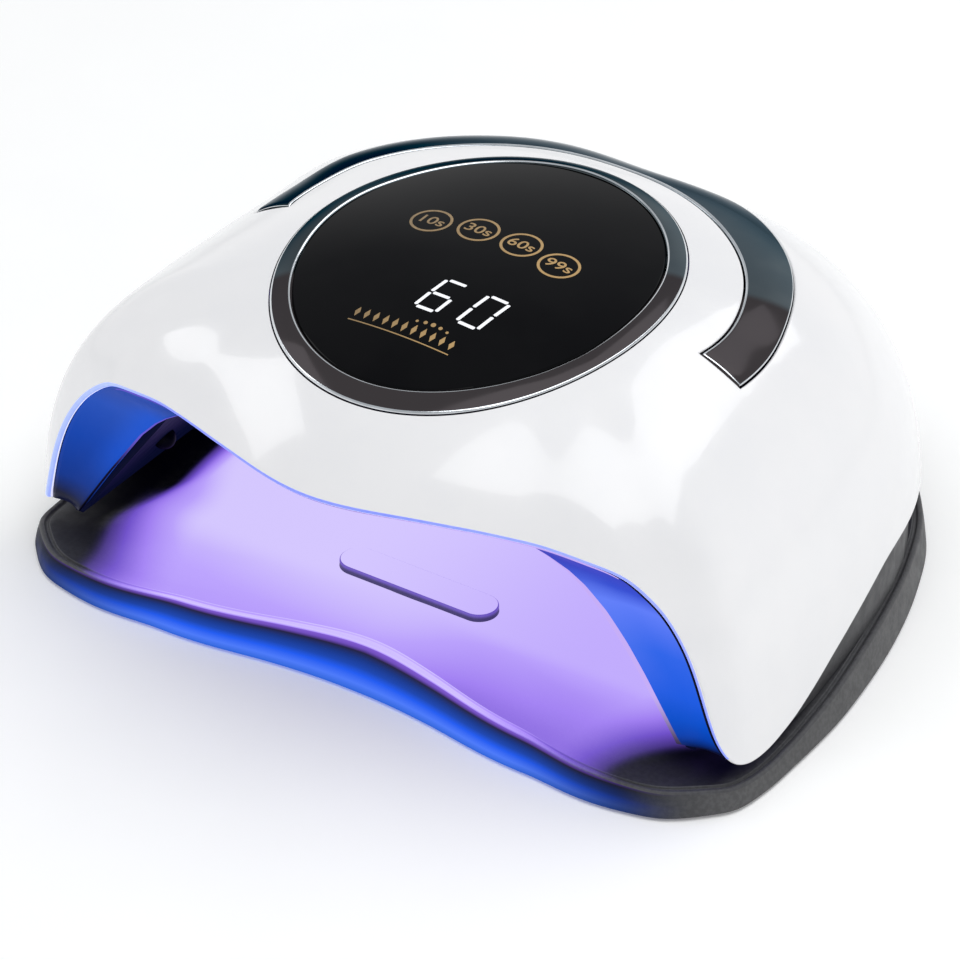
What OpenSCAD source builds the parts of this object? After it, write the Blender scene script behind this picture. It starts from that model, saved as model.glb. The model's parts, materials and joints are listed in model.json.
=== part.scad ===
// Curing lamp for light-hardened gels and resins: a domed housing with an
// open front bay, standing on a loose base tray. Millimetres, +X to the right
// seen from the front, front towards -Y, +Z up, resting on z = 0.

/* [Housing] */
// Height of the dome's crown above the table
crown_z = 103.2; // [96:0.2:108]
// Wall of the white top shell
shell_wall = 2.8; // [2.4:0.1:3.2]
// Depth of the recess that the handle trim lies in
recess_depth = 1.4; // [1:0.1:1.6]
// Height of the visor's lip over the middle of the bay
visor_z = 71; // [70:0.5:72]
// Wall of the dark lower housing
lower_wall = 2.4; // [2:0.1:2.8]

/* [Display] */
// Half width of the oval bezel
bezel_half_w = 52; // [50:0.5:53]
// Half length of the oval bezel, front to back
bezel_half_l = 58.4; // [56:0.2:59]
// Visible width of the bezel
bezel_w = 5.6; // [4.5:0.1:6.5]
// Thickness of the domed window
glass_t = 2.2; // [1.8:0.1:2.4]
// Tilt of the display towards the user
display_tilt = 5.6; // [4:0.1:7]
// Radius of a touch button
button_r = 5.7; // [5:0.1:6]

/* [Light bay] */
// Half width of the bay at its floor
bay_half_w = 95.5; // [92:0.5:96]
// Height of the bay's ceiling
bay_top = 69.5; // [66:0.5:70]
// Depth of the bay behind the frame origin
bay_rear = 74; // [68:1:75]
// Wall of the reflector
liner_wall = 2; // [1.6:0.1:2.2]
// Diameter of one light-emitting diode's lens
led_d = 6.4; // [5:0.1:7]

/* [Base tray] */
// Height of the tray's floor
floor_z = 15.5; // [15:0.1:16]
// Wall of the tray
tray_wall = 2.4; // [2:0.1:2.8]
// Length of the raised finger rest
rest_len = 48.5; // [44:0.5:56]
// Width of the raised finger rest
rest_w = 10.5; // [9:0.5:14]

/* [Power inlet] */
// Thread diameter of the inlet socket
inlet_d = 8; // [7.5:0.1:9]
// Height of the inlet socket's axis
inlet_z = 21; // [21:0.1:22]

/* [Hidden] */

gap = 0.3;                  // clearance between pieces of different bodies
fit = 0.15;                 // clearance between pieces fixed to each other
centre_y = -24.5;           // axis that the dome is laid out around
display_y = centre_y - 1.85; // middle of the display
base_z = 10;                // level where the dome would reach its full width
far = 300;                  // longer than anything in the model

// Dome, by compass angle from the front: full radius, curvature in plan and height
DOME = [[0, 102.6, 2.13, 2.13], [23, 98.2, 2.28, 2.28], [42, 98.5, 2.55, 2.55],
    [54, 108.8, 2.55, 2.55], [60, 112.8, 2.55, 2.55], [65, 118.5, 2.55, 2.55],
    [67, 119.6, 2.55, 2.55], [71, 117.6, 2.55, 2.55], [77, 114.2, 2.55, 2.55],
    [90, 110.5, 2.55, 2.55], [105, 110.8, 2.62, 2.65], [120, 114.5, 2.86, 2.97],
    [150, 122.6, 2.86, 2.37], [180, 125.7, 3.38, 1.27]];
// Height of the shell's lower edge: visor, drop to the tips, arch, rear
EDGE = [[0, visor_z], [30, visor_z - 0.4], [42, visor_z - 2], [50, 66.5], [55, 63.5],
    [58, 58.5], [60.2, 52], [62, 41], [63.3, 26], [65, 16], [67.5, 11.8], [72, 10.8],
    [77, 12.5], [83, 17], [90, 22.3], [98, 27.2], [106, 30.5], [115, 31], [130, 29.5],
    [180, 28]];
// Tray outline on the table, then the rim's inset and height, then the floor's edge
TRAY = [[0, 61.3, 7.3, 11, 42], [22, 68, 6.4, 10.4, 49], [41, 88.6, 5.7, 9.3, 68],
    [49, 103.6, 4, 8.6, 84], [53, 110.5, 3, 8.2, 91], [57, 116.7, 2, 8, 96],
    [63, 120.8, 1.3, 7.5, 99], [66, 122, 1.2, 6.8, 99], [71, 119.8, 1.2, 6, 95],
    [78, 116, 1.2, 6.5, 90], [86, 113.3, 1.2, 8.6, 88], [98, 111.2, 1.2, 11.2, 87],
    [110, 112, 1.2, 12.2, 87], [122, 115.4, 1.2, 11.5, 88], [133, 120.3, 1.2, 11, 90],
    [157, 127.2, 1.2, 11, 94], [180, 129.5, 1.2, 11, 96]];

// ---- curves through the key tables -------------------------------------------

function smooth(a, b, x) = let (t = min(1, max(0, (x - a) / (b - a)))) t * t * (3 - 2 * t);
function lerp(a, b, t) = a + (b - a) * t;
function slope(k, c, i) = (i == 0 || i == len(k) - 1) ? 0
    : (k[i + 1][c] - k[i - 1][c]) / (k[i + 1][0] - k[i - 1][0]);
function span(k, a, i = 0) = (i >= len(k) - 2 || a < k[i + 1][0]) ? i : span(k, a, i + 1);
// Value of column c of table k at angle a, on a smooth curve through the keys
function along(k, c, a) = let (i = span(k, abs(a)), h = k[i + 1][0] - k[i][0],
        t = (abs(a) - k[i][0]) / h, s = 1 - t)
    k[i][c] * (1 + 2 * t) * s * s + slope(k, c, i) * h * t * s * s
    + k[i + 1][c] * t * t * (3 - 2 * t) - slope(k, c, i + 1) * h * t * t * s;

// ---- the dome ------------------------------------------------------------------

// Point at compass angle a, distance r from the centre axis and height z
function at(a, r, z) = [r * sin(a), centre_y - r * cos(a), z];
// Profile position (0 at the crown, 90 at full width) for a radius or a height
function rise_at_r(a, r, inset = 0) =
    asin(min(1, pow(r / (along(DOME, 1, a) - inset), along(DOME, 2, a) / 2)));
function rise_at_z(a, z, inset = 0) =
    acos(min(1, pow((z - base_z) / (crown_z - inset - base_z), along(DOME, 3, a) / 2)));
// Point on the dome, moved inwards by inset
function dome(a, rise, inset = 0) = at(a,
    (along(DOME, 1, a) - inset) * pow(sin(rise), 2 / along(DOME, 2, a)),
    base_z + (crown_z - inset - base_z) * pow(cos(rise), 2 / along(DOME, 3, a)));
function dome_z(a, r, inset = 0) = dome(a, rise_at_r(a, r, inset), inset)[2];
function dome_r(a, z, inset = 0) = let (p = dome(a, rise_at_z(a, z, inset), inset))
    norm([p[0], p[1] - centre_y]);
// Distance from the centre axis to an oval with its middle at y
function oval_r(a, y, half_w, half_l) = let (d = centre_y - y,
        qa = pow(sin(a) / half_w, 2) + pow(cos(a) / half_l, 2),
        qb = -2 * cos(a) * d / pow(half_l, 2), qc = pow(d / half_l, 2) - 1)
    (sqrt(qb * qb - 4 * qa * qc) - qb) / (2 * qa);
function bezel_r(a, grow = 0) = oval_r(a, display_y, bezel_half_w + grow, bezel_half_l + grow);
function edge_z(a) = along(EDGE, 1, a);

trim_from = 93.6;           // compass angle where the handle trim ends on each side
trim_gap = 0.9;             // gap round the trim at the shell's surface
function trim_in(a) = oval_r(a, centre_y + 10, 65.5, 56);
function trim_out(a) = oval_r(a, centre_y + 8, 75.7, 76);

// ---- lofting -------------------------------------------------------------------

function quad_row(i, j, n) = [for (k = [0 : n - 1]) let (l = (k + 1) % n)
    each [[i * n + k, j * n + l, i * n + l], [i * n + k, j * n + k, j * n + l]]];
function middle(loop) = [for (c = [0 : 2]) [for (p = loop) p[c]] * [for (p = loop) 1]]
    / len(loop);
// Solid through equal loops of points, joined end to start or capped with fans
module loft(loops, ring = false) {
    n = len(loops[0]);
    m = len(loops);
    pts = concat([for (l = loops) each l], ring ? [] : [middle(loops[0]), middle(loops[m - 1])]);
    walls = [for (i = [0 : m - (ring ? 1 : 2)]) each quad_row(i, (i + 1) % m, n)];
    caps = ring ? [] : [for (k = [0 : n - 1]) let (l = (k + 1) % n)
        each [[m * n, k, l], [m * n + 1, (m - 1) * n + l, (m - 1) * n + k]]];
    polyhedron(pts, concat(walls, caps));
}
// Round tube along a route
module tube(route, r, sides = 8) {
    n = len(route);
    loft([for (i = [0 : n - 1])
        let (d = route[min(n - 1, i + 1)] - route[max(0, i - 1)], t = d / norm(d),
            s = abs(t[2]) > 0.9 ? [1, 0, 0] : [0, 0, 1],
            u = cross(s, t) / norm(cross(s, t)), v = cross(t, u))
        [for (k = [0 : sides - 1]) route[i] + r * (u * cos(360 * k / sides)
            + v * sin(360 * k / sides))]]);
}
module mirrored() {
    children();
    mirror([1, 0, 0]) children();
}

// Compass angles of the loft's columns on the right, and all the way round
half_turn = concat([for (a = [0 : 6 : 42]) a], [46, 50, 53, 55.5], [for (a = [57.5 : 1.25 : 70]) a],
    [72.5, 75, 78, 82, 86, 90, trim_from - 0.8, trim_from - 0.5], [for (a = [96 : 6 : 180]) a]);
full_turn = concat(half_turn, [for (i = [len(half_turn) - 2 : -1 : 1]) 360 - half_turn[i]]);
function fold(a) = a > 180 ? a - 360 : a;

// ---- places on the walls of the bay ----------------------------------------------

// One wall: direction it faces, distance from the frame's axis at the floor, lean
WALL_RIGHT = [0, bay_half_w, 35.8];
WALL_LEFT = [180, bay_half_w, 35.8];
WALL_REAR = [90, bay_rear, 21.6];
WALL_SIDE = [28, 96, 32];
WALL_CORNER = [55, 86, 27];
SHOULDER = [0, 142, 60];
bay_floor = 14;             // level where the distances above are taken
mouth_y = -77.5;            // plane of the bay's mouth
function other_side(w) = [180 - w[0], w[1], w[2]];
BAY_WALLS = [WALL_RIGHT, WALL_LEFT, WALL_REAR, WALL_SIDE, other_side(WALL_SIDE),
    WALL_CORNER, other_side(WALL_CORNER), SHOULDER, other_side(SHOULDER)];

// Frame on a wall: x outwards, z up the wall, origin at the bay's floor
module on_wall(w) {
    rotate([0, 0, w[0]]) translate([w[1], 0, bay_floor]) rotate([0, -w[2], 0]) children();
}
// Space inside the bay's walls, moved outwards by grow, from the front to the back
module bay(grow, bottom, front = mouth_y, top = bay_top) {
    intersection() {
        translate([-far / 2, front, bottom]) cube([far, far, top + grow - bottom]);
        for_walls(grow);
    }
}
module for_walls(grow) {
    intersection_for (w = BAY_WALLS) on_wall(w)
        translate([grow - far, -far, -far]) cube([far, 2 * far, 2 * far]);
}

// ---- base tray -------------------------------------------------------------------

rest_y = -54.5;             // middle of the finger rest
foot_at = [[76, -57.5], [60, 64.5]];
magnet_at = [[100.1, -9.5], [30, 86.5]];
magnet_d = 4;
magnet_h = 2;
seat_z = 13.3;              // top of the tray's magnet posts
foot_h = 3;
skirt_z = 1;                // gap under the skirt, kept open by the feet

// Loop round the tray: in = distance in from the outline, z above the rim
function tray_loop(in, z, bottom = false) = [for (a = full_turn) let (f = fold(a))
    at(f, along(TRAY, 1, f) - (bottom ? 0 : along(TRAY, 2, f)) - in,
        bottom ? z : along(TRAY, 3, f) + z)];
// Loop round the floor's edge: out = distance out from it, drop = share down to the rim
function floor_loop(out, drop, z = 0) = [for (a = full_turn) let (f = fold(a))
    at(f, along(TRAY, 4, f) + out, lerp(floor_z, along(TRAY, 3, f), drop) + z)];

module tray_skin() {
    loft([floor_loop(-6, 0, -tray_wall), floor_loop(-2, 0.05, -tray_wall),
        floor_loop(5, 1, -tray_wall), tray_loop(3, -tray_wall), tray_loop(tray_wall, -4.5),
        tray_loop(tray_wall, skirt_z, true), tray_loop(0, skirt_z, true),
        tray_loop(0, -0.7), tray_loop(0.6, 0), tray_loop(1.5, 0), tray_loop(1.8, -0.7),
        tray_loop(2.3, -0.7), tray_loop(2.7, 0), floor_loop(7, 0.95), floor_loop(4.5, 0.7),
        floor_loop(1.5, 0.22), floor_loop(-1.5, 0.03), floor_loop(-6, 0)]);
}
module finger_rest() {
    translate([0, rest_y, floor_z - 0.5]) for (layer = [[0, 1.7], [0.7, 2.2]])
        mirrored() {
            translate([(rest_len - rest_w) / 2, 0, 0])
                cylinder(r = rest_w / 2 - layer[0], h = layer[1] + 0.5, $fn = 48);
            translate([-0.1, layer[0] - rest_w / 2, 0])
                cube([(rest_len - rest_w) / 2 + 0.1, rest_w - 2 * layer[0], layer[1] + 0.5]);
        }
}
module base_tray() {
    color("#3b3b3d") {
        difference() {
            union() {
                tray_skin();
                finger_rest();
                mirrored() for (p = foot_at) translate([p[0], p[1], foot_h - 1])
                    cylinder(d = 15, h = floor_z - foot_h - 1, $fn = 40);
                mirrored() for (p = magnet_at) translate([p[0], p[1], 6])
                    cylinder(d = magnet_d + 1.2, h = seat_z - 6, $fn = 32);
            }
            mirrored() for (p = magnet_at) translate([p[0], p[1], seat_z - magnet_h])
                cylinder(d = magnet_d, h = far, $fn = 32);
            mirrored() for (p = foot_at) translate([p[0], p[1], -1])
                cylinder(d = 12, h = foot_h + 1, $fn = 40);
        }
    }
}
module rubber_feet() {
    color("#161616") mirrored() for (p = foot_at) translate([p[0], p[1], 0]) {
        cylinder(d1 = 10.6, d2 = 12, h = 0.8, $fn = 40);
        translate([0, 0, 0.8]) cylinder(d = 12, h = foot_h - 0.8, $fn = 40);
    }
}
module magnet_set(z) {
    color("silver") mirrored() for (p = magnet_at) translate([p[0], p[1], z])
        cylinder(d = magnet_d, h = magnet_h, $fn = 32);
}
module tray_magnets() { magnet_set(seat_z - magnet_h); }

// ---- top shell, trim, lower housing ------------------------------------------------

// Depth of the trim's recess at angle a: none in front of the trim's ends
function recess(a) = abs(a) < trim_from - 0.6 ? 0 : recess_depth;
// Where the recess begins and ends, carried on as plain rows in front of it
function row_r(a, part, side) = let (f = abs(a), rim = bezel_r(f, gap),
        plain = lerp(rim, dome_r(f, edge_z(f)), part), w = smooth(62, trim_from - 1, f))
    lerp(plain, side < 0 ? trim_in(f) - trim_gap : trim_out(f) + trim_gap, w);
function shell_section(a) = let (f = fold(a), in = rise_at_r(f, row_r(f, 0.3, -1)),
        out = rise_at_r(f, row_r(f, 0.62, 1)), top = rise_at_r(f, bezel_r(f, gap)),
        end = rise_at_z(f, edge_z(f)), in_end = rise_at_z(f, edge_z(f), shell_wall),
        in_top = rise_at_r(f, bezel_r(f, gap), shell_wall), d = recess(f))
    concat([dome(f, top), dome(f, lerp(top, in, 0.5)), dome(f, in), dome(f, in + 0.3, d),
        dome(f, lerp(in, out, 0.5), d), dome(f, out - 0.3, d), dome(f, out)],
        [for (t = [0.14, 0.3, 0.46, 0.62, 0.78, 0.92, 1]) dome(f, lerp(out, end, t))],
        [for (t = [1, 0.84, 0.68, 0.5, 0.3, 0.12, 0])
            dome(f, lerp(in_top, in_end, t), shell_wall)]);
module top_shell() {
    color("#f2f0f1") loft([for (a = full_turn) shell_section(a)], ring = true);
}

trim_arc = concat([trim_from], [for (a = full_turn) if (a > trim_from && a < 360 - trim_from) a],
    [360 - trim_from]);
function trim_section(a) = let (f = fold(a), in = rise_at_r(f, trim_in(f)),
        out = rise_at_r(f, trim_out(f)))
    concat([dome(f, in, recess_depth - fit)],
        [for (t = [[0, 0.2], [0.06, -0.3], [0.5, -0.5], [0.94, -0.3], [1, 0.2]])
            dome(f, lerp(in, out, t[0]), t[1])],
        [dome(f, out, recess_depth - fit), dome(f, lerp(in, out, 0.5), recess_depth - fit)]);
module handle_trim() {
    color("#4a4f56") loft([for (a = trim_arc) trim_section(a)]);
}

lower_from = 74;            // compass angle where the lower housing begins
flange_z = 13.6;
flange_h = 2.4;
lower_arc = [for (a = full_turn) if (a > lower_from && a < 360 - lower_from) a];
wall_in = shell_wall + 0.5; // inset of the lower housing's outer face from the dome
function lower_top(a) = edge_z(a) + 5;
function lower_bottom(a) = max(along(TRAY, 3, a) + 0.5, 9);
// Point t of the way up the lower housing's wall, whose dome is set in by inset
function lower_point(a, t, inset) = let (z = lerp(lower_bottom(a), lower_top(a), t),
        p = dome(a, rise_at_z(a, max(base_z, z), inset), inset)) [p[0], p[1], z];
function lower_section(a) = let (f = fold(a))
    concat([for (t = [0, 0.35, 0.7, 1]) lower_point(f, t, wall_in + lower_wall)],
        [for (t = [1, 0.7, 0.35, 0]) lower_point(f, t, wall_in)]);
function lower_line(inset) = [for (a = lower_arc) let (f = fold(a),
    p = dome(f, rise_at_z(f, base_z + 4, inset), inset)) [p[0], p[1]]];
module vent_slots() {
    for (side = [-1, 1], k = [0 : 7]) translate([0, centre_y, 0])
        rotate([0, 0, side * (9.5 + 2.1 * k)]) translate([-0.9, 105, 17]) cube([1.8, 30, 7.5]);
}
module lower_housing() {
    color("#343437") difference() {
        union() {
            loft([for (a = lower_arc) lower_section(a)]);
            difference() {
                translate([0, 0, flange_z]) linear_extrude(flange_h)
                    polygon(lower_line(wall_in + lower_wall - 0.4));
                bay(liner_wall + fit, 0);
            }
            translate([0, inlet_seat, inlet_z]) rotate([90, 0, 0])
                cylinder(d = 13, h = 3.4, $fn = 48);
        }
        // The wall's foot stays whole below the reflector's corners
        bay(liner_wall + fit, flange_z + 0.25);
        vent_slots();
        translate([0, 60, inlet_z]) rotate([-90, 0, 0])
            cylinder(d = inlet_d, h = far, $fn = 40);
        mirrored() for (p = magnet_at) translate([p[0], p[1], 0])
            cylinder(d = magnet_d, h = flange_z + magnet_h, $fn = 32);
        for_liner_screws() translate([0, 0, -far / 2]) cylinder(d = screw_d, h = far, $fn = 16);
    }
}
module housing_magnets() { magnet_set(flange_z); }

// ---- bay: front surround and reflector --------------------------------------------

// Mouth of the bay in the plane of its front: corners from the floor to the crown
shoulder_low = [62.4, 59.9];
shoulder_high = [45.9, bay_top];
MOUTH = [[bay_half_w, bay_floor], shoulder_low, shoulder_high, [0, bay_top]];
// Point of the mouth seen at angle t from its floor's middle
function mouth(t) = let (i = t < 43.9 ? 0 : t < 53.4 ? 1 : 2, p = MOUTH[i], q = MOUTH[i + 1],
        c = [0, 12], d = [cos(t), sin(t)], e = q - p,
        s = ((p[0] - c[0]) * e[1] - (p[1] - c[1]) * e[0]) / (d[0] * e[1] - d[1] * e[0]))
    c + s * d;
surround_turn = [for (i = [0 : len(half_turn) - 1]) if (half_turn[i] <= 67.5) half_turn[i]];
surround_arc = concat([for (i = [len(surround_turn) - 1 : -1 : 1]) -surround_turn[i]],
    surround_turn);
function surround_section(a) = let (z = edge_z(a) + 0.5, inset = shell_wall + 0.4,
        p = dome(a, rise_at_z(a, z, inset), inset), t = atan2(p[2] - 12, abs(p[0])),
        m = mouth(t), s = a < 0 ? -1 : 1, q = [s * m[0], mouth_y, m[1]],
        back = [0, 1.6 * cos(t) + 0.8, 1.6 * sin(t)])
    [p, lerp(p, q, 0.5), q, q + back, lerp(p, q, 0.5) + back, p + back * 0.8];
module front_surround() {
    color("#1c4fd0") loft([for (a = surround_arc) surround_section(a)]);
}

lip_z = flange_z + flange_h;
lip_h = 1.6;
liner_front = mouth_y + 3.9; // the reflector starts behind the surround
screw_d = 2;                // thread of the reflector's screws
// Six screws hold the reflector's lip down on the lower housing's flange
module for_liner_screws() {
    mirrored() {
        translate([100.4, -35.5, 0]) children();
        translate([98.5, 4.5, 0]) children();
        translate([16, 80.8, 0]) children();
    }
}
// Diodes along a wall: offsets sideways and up from the wall's foot
SIDE_LEDS = [for (y = [-54, -32, -10], z = [22, 40]) [y, z]];
CORNER_LEDS = [for (y = [-9, 9], z = [20, 38]) [y, z]];
REAR_LEDS = [for (y = [-12, 12], z = [20, 38]) [y, z]];
CEILING_LEDS = [for (x = [-32, 0, 32], y = [-60 : 20 : 40]) [x, y]];

module each_wall_led(w, spots, shift = 0) {
    for (s = spots) on_wall(w) translate([0, s[0] + shift, s[1]]) rotate([0, 90, 0]) children();
}
module each_ceiling_led() {
    for (s = CEILING_LEDS) translate([s[0], s[1], bay_top]) children();
}
module each_led() {
    each_wall_led(WALL_RIGHT, SIDE_LEDS) children();
    each_wall_led(WALL_LEFT, [for (s = SIDE_LEDS) [-s[0], s[1]]]) children();
    each_wall_led(WALL_REAR, REAR_LEDS) children();
    each_wall_led(WALL_CORNER, CORNER_LEDS) children();
    each_wall_led(other_side(WALL_CORNER), CORNER_LEDS) children();
    each_ceiling_led() children();
}
sensor_at = [0, 62, 0];
module inner_liner() {
    color("#dfe2ea") difference() {
        union() {
            bay(liner_wall, flange_z + 0.3, liner_front);
            intersection() {
                bay(liner_wall + 5, lip_z, -58, top = lip_z + lip_h - liner_wall - 5);
                linear_extrude(far) polygon(lower_line(wall_in + lower_wall + 0.3));
            }
        }
        bay(0, -1, -far / 2);
        each_led() translate([0, 0, -3]) cylinder(d = led_d + 2 * fit, h = 8, $fn = 20);
        for_liner_screws() translate([0, 0, -far / 2]) cylinder(d = screw_d, h = far, $fn = 16);
        translate(sensor_at) sensor_pair_holes();
    }
}
module liner_screws() {
    color("#9a9ca0") for_liner_screws() {
        translate([0, 0, flange_z + 0.2])
            cylinder(d = screw_d, h = lip_z + lip_h - flange_z - 0.2, $fn = 16);
        translate([0, 0, lip_z + lip_h]) difference() {
            cylinder(d = 3.6, h = 1.6, $fn = 24);
            translate([0, 0, 0.7]) cylinder(d = 2, h = 2, $fn = 6);
        }
    }
}

// ---- light-emitting diodes and their boards ---------------------------------------

board_t = 1.2;
board_gap = liner_wall + 1; // from the bay's face to the board
module wall_board(w, size, y, z) {
    color("#e8e8e2") on_wall(w) translate([board_gap, y - size[0] / 2, z - size[1] / 2])
        cube([board_t, size[0], size[1]]);
}
module led() {
    color("#cfd6ff") {
        cylinder(d = led_d, h = board_gap, $fn = 20);
        difference() {
            sphere(d = led_d, $fn = 20);
            cylinder(d = 2 * led_d, h = led_d, $fn = 20);
        }
    }
}
module led_board_ceiling() {
    color("#e8e8e2") difference() {
        translate([-40, -68, bay_top + board_gap]) cube([80, 116, board_t]);
        translate([-20, -20, bay_top]) cylinder(d = 2.4, h = 10, $fn = 16);
    }
}
module led_board_right() { wall_board(WALL_RIGHT, [62, 34], -32, 31); }
module led_board_left() { wall_board(WALL_LEFT, [62, 34], 32, 31); }
module led_board_rear() { wall_board(WALL_REAR, [34, 32], 0, 29); }
module led_board_corner_right() { wall_board(WALL_CORNER, [28, 32], 0, 29); }
module led_board_corner_left() { wall_board(other_side(WALL_CORNER), [28, 32], 0, 29); }
module ceiling_leds() { each_ceiling_led() led(); }
module right_leds() { each_wall_led(WALL_RIGHT, SIDE_LEDS) led(); }
module left_leds() { each_wall_led(WALL_LEFT, [for (s = SIDE_LEDS) [-s[0], s[1]]]) led(); }
module rear_leds() { each_wall_led(WALL_REAR, REAR_LEDS) led(); }
module corner_leds() {
    each_wall_led(WALL_CORNER, CORNER_LEDS) led();
    each_wall_led(other_side(WALL_CORNER), CORNER_LEDS) led();
}

// Infrared pair low on the rear wall, which sees a hand come in
sensor_d = 3;
module sensor_pair_holes() {
    for (x = [-4, 4]) translate([x, 0, 22]) rotate([-90, 0, 0])
        cylinder(d = sensor_d + 2 * fit, h = 20, $fn = 20);
}
module ir_sensors() {
    color("#2a1f3a") for (x = [-4, 4]) translate([x, 0, 22]) {
        translate([0, bay_rear - 4.5, 0]) rotate([-90, 0, 0]) cylinder(d = sensor_d, h = 4.5, $fn = 20);
        translate([-1.8, bay_rear, -1.8]) cube([3.6, 1.2, 3.6]);
    }
}

// ---- display -----------------------------------------------------------------------

glass_rise = 0.8;           // the window stands this much above the dome
ring_z = 93.3;              // height of the display's plane on its own middle
module on_display() {
    translate([0, display_y, ring_z]) rotate([display_tilt, 0, 0]) children();
}
function oval(grow) = [for (a = [0 : 5 : 355])
    [(bezel_half_w + grow) * cos(a), (bezel_half_l + grow) * sin(a)]];

// Bezel profile: distance in from its outer edge, height above the dome
BEZEL = [[0, -0.4], [0.7, 0.3], [bezel_w - 0.7, 1], [bezel_w, 0.6], [bezel_w, -1.6],
    [bezel_w + 2.2, -1.6], [bezel_w + 2.2, -3.6], [0, -3.6]];
bezel_turn = [for (a = [0 : 6 : 354]) fold(a)];
module display_bezel() {
    color("#50575e") loft([for (a = bezel_turn) [for (i = [len(BEZEL) - 1 : -1 : 0])
        let (b = BEZEL[i]) at(a, bezel_r(a, -b[0]), dome_z(a, bezel_r(a)) + b[1]
            + (bezel_z(a, b[0])))]], ring = true);
}
// The dome still rises a little across the bezel
function bezel_z(a, in) = dome_z(a, bezel_r(a, -min(in, bezel_w))) - dome_z(a, bezel_r(a));

glass_in = bezel_w + fit;
function glass_loop(t, sink) = [for (a = bezel_turn) let (r = bezel_r(a, -glass_in) * t)
    at(a, r, dome_z(a, r) + glass_rise - sink)];
module display_glass() {
    color("#0b0b0d") loft(concat([for (t = [0.12, 0.4, 0.7, 0.9, 1]) glass_loop(t, glass_t)],
        [for (t = [1, 0.985, 0.9, 0.75, 0.55, 0.35, 0.12]) glass_loop(t, t == 1 ? 0.5 : 0)]));
}

carrier_z = -8;             // underside of the carrier on the display's plane
carrier_h = 2;
carrier_posts = [[14, 50.6], [14, -50.6]];
board_posts = [[30, 22], [30, -22]];
board_z = carrier_z + 4;
module display_carrier() {
    color("#202022") on_display() difference() {
        union() {
            translate([0, 0, carrier_z]) linear_extrude(carrier_h) polygon(oval(-6));
            mirrored() for (p = board_posts) translate([p[0], p[1], carrier_z])
                cylinder(d = 6, h = board_z - carrier_z, $fn = 32);
        }
        mirrored() for (p = board_posts) translate([p[0], p[1], carrier_z - 1])
            cylinder(d = 2.2, h = 20, $fn = 20);
        mirrored() for (p = carrier_posts) translate([p[0], p[1], carrier_z - 1])
            cylinder(d = 2.8, h = 20, $fn = 20);
        translate([-22, -6, carrier_z - 1]) cube([14, 24, 20]);
        translate([-4, 41, carrier_z - 1]) cube([8, 14, 20]);
    }
}
// Screws that pull the carrier up to spacers under the bezel
module carrier_screws() {
    color("#9a9ca0") on_display() mirrored() for (p = carrier_posts) translate([p[0], p[1], carrier_z]) {
        translate([0, 0, -1.6]) cylinder(d = 4.6, h = 1.6, $fn = 24);
        cylinder(d = 2.8, h = carrier_h, $fn = 20);
        translate([0, 0, carrier_h]) cylinder(d = 4.6, h = 1.4, $fn = 24);
    }
}
module control_board() {
    color("#1d5b38") on_display() difference() {
        translate([0, 0, board_z]) cylinder(r = 38, h = 1.6, $fn = 96);
        mirrored() for (p = board_posts) translate([p[0], p[1], 0])
            cylinder(d = 2.2, h = far, center = true, $fn = 20);
    }
}
module board_screws() {
    color("#9a9ca0") on_display() mirrored() for (p = board_posts)
        translate([p[0], p[1], board_z - 3.6]) {
            cylinder(d = 2.2, h = 5.2, $fn = 20);
            translate([0, 0, 5.2]) cylinder(d = 4.2, h = 1.4, $fn = 24);
        }
}
// Controller, four drivers and the socket for the leads
module board_chips() {
    color("#18181a") on_display() translate([0, 0, board_z + 1.6]) {
        translate([-20, -30, 0]) cube([10, 7.6, 1.6]);
        for (x = [-24, 24.5]) translate([x, -17, 0]) cube([4.4, 6, 1.4]);
        for (x = [-16, 12]) translate([x, 26, 0]) cube([4.4, 5, 1.4]);
        translate([-3.5, 29, 0]) cube([7, 6, 5]);
    }
}
digits_at = [8.6, -20.3];    // middle of the digits on the display's plane
digits_h = 8;
module digit_display() {
    color("#26262a") on_display() translate([digits_at[0] - 13.5, digits_at[1] - 8, board_z + 1.6])
        cube([27, 16, digits_h]);
}
// One bar of a figure: a flat hexagonal stroke
module bar(len, w) {
    linear_extrude(0.5) polygon([[0, 0], [w / 2, w / 2], [len - w / 2, w / 2], [len, 0],
        [len - w / 2, -w / 2], [w / 2, -w / 2]]);
}
bar_len = 5.6;
bar_w = 1.3;
module figure(lit) {
    for (row = [0 : 2]) if (lit[row]) translate([0.3, row * bar_len, 0]) bar(bar_len - 0.6, bar_w);
    for (col = [0, 1], row = [0, 1]) if (lit[3 + col * 2 + row])
        translate([col * bar_len, row * bar_len + 0.3, 0]) rotate([0, 0, 90])
            bar(bar_len - 0.6, bar_w);
}
// Bars: bottom, middle, top, then left low and high, right low and high
SIX = [1, 1, 1, 1, 1, 1, 0];
NOUGHT = [1, 0, 1, 1, 1, 1, 1];
module digit_segments() {
    color("white") on_display()
        translate([digits_at[0], digits_at[1] - bar_len, board_z + 1.6 + digits_h]) {
        translate([-9.6, 0, 0]) figure(SIX);
        translate([3.6, 0, 0]) figure(NOUGHT);
    }
}
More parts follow.
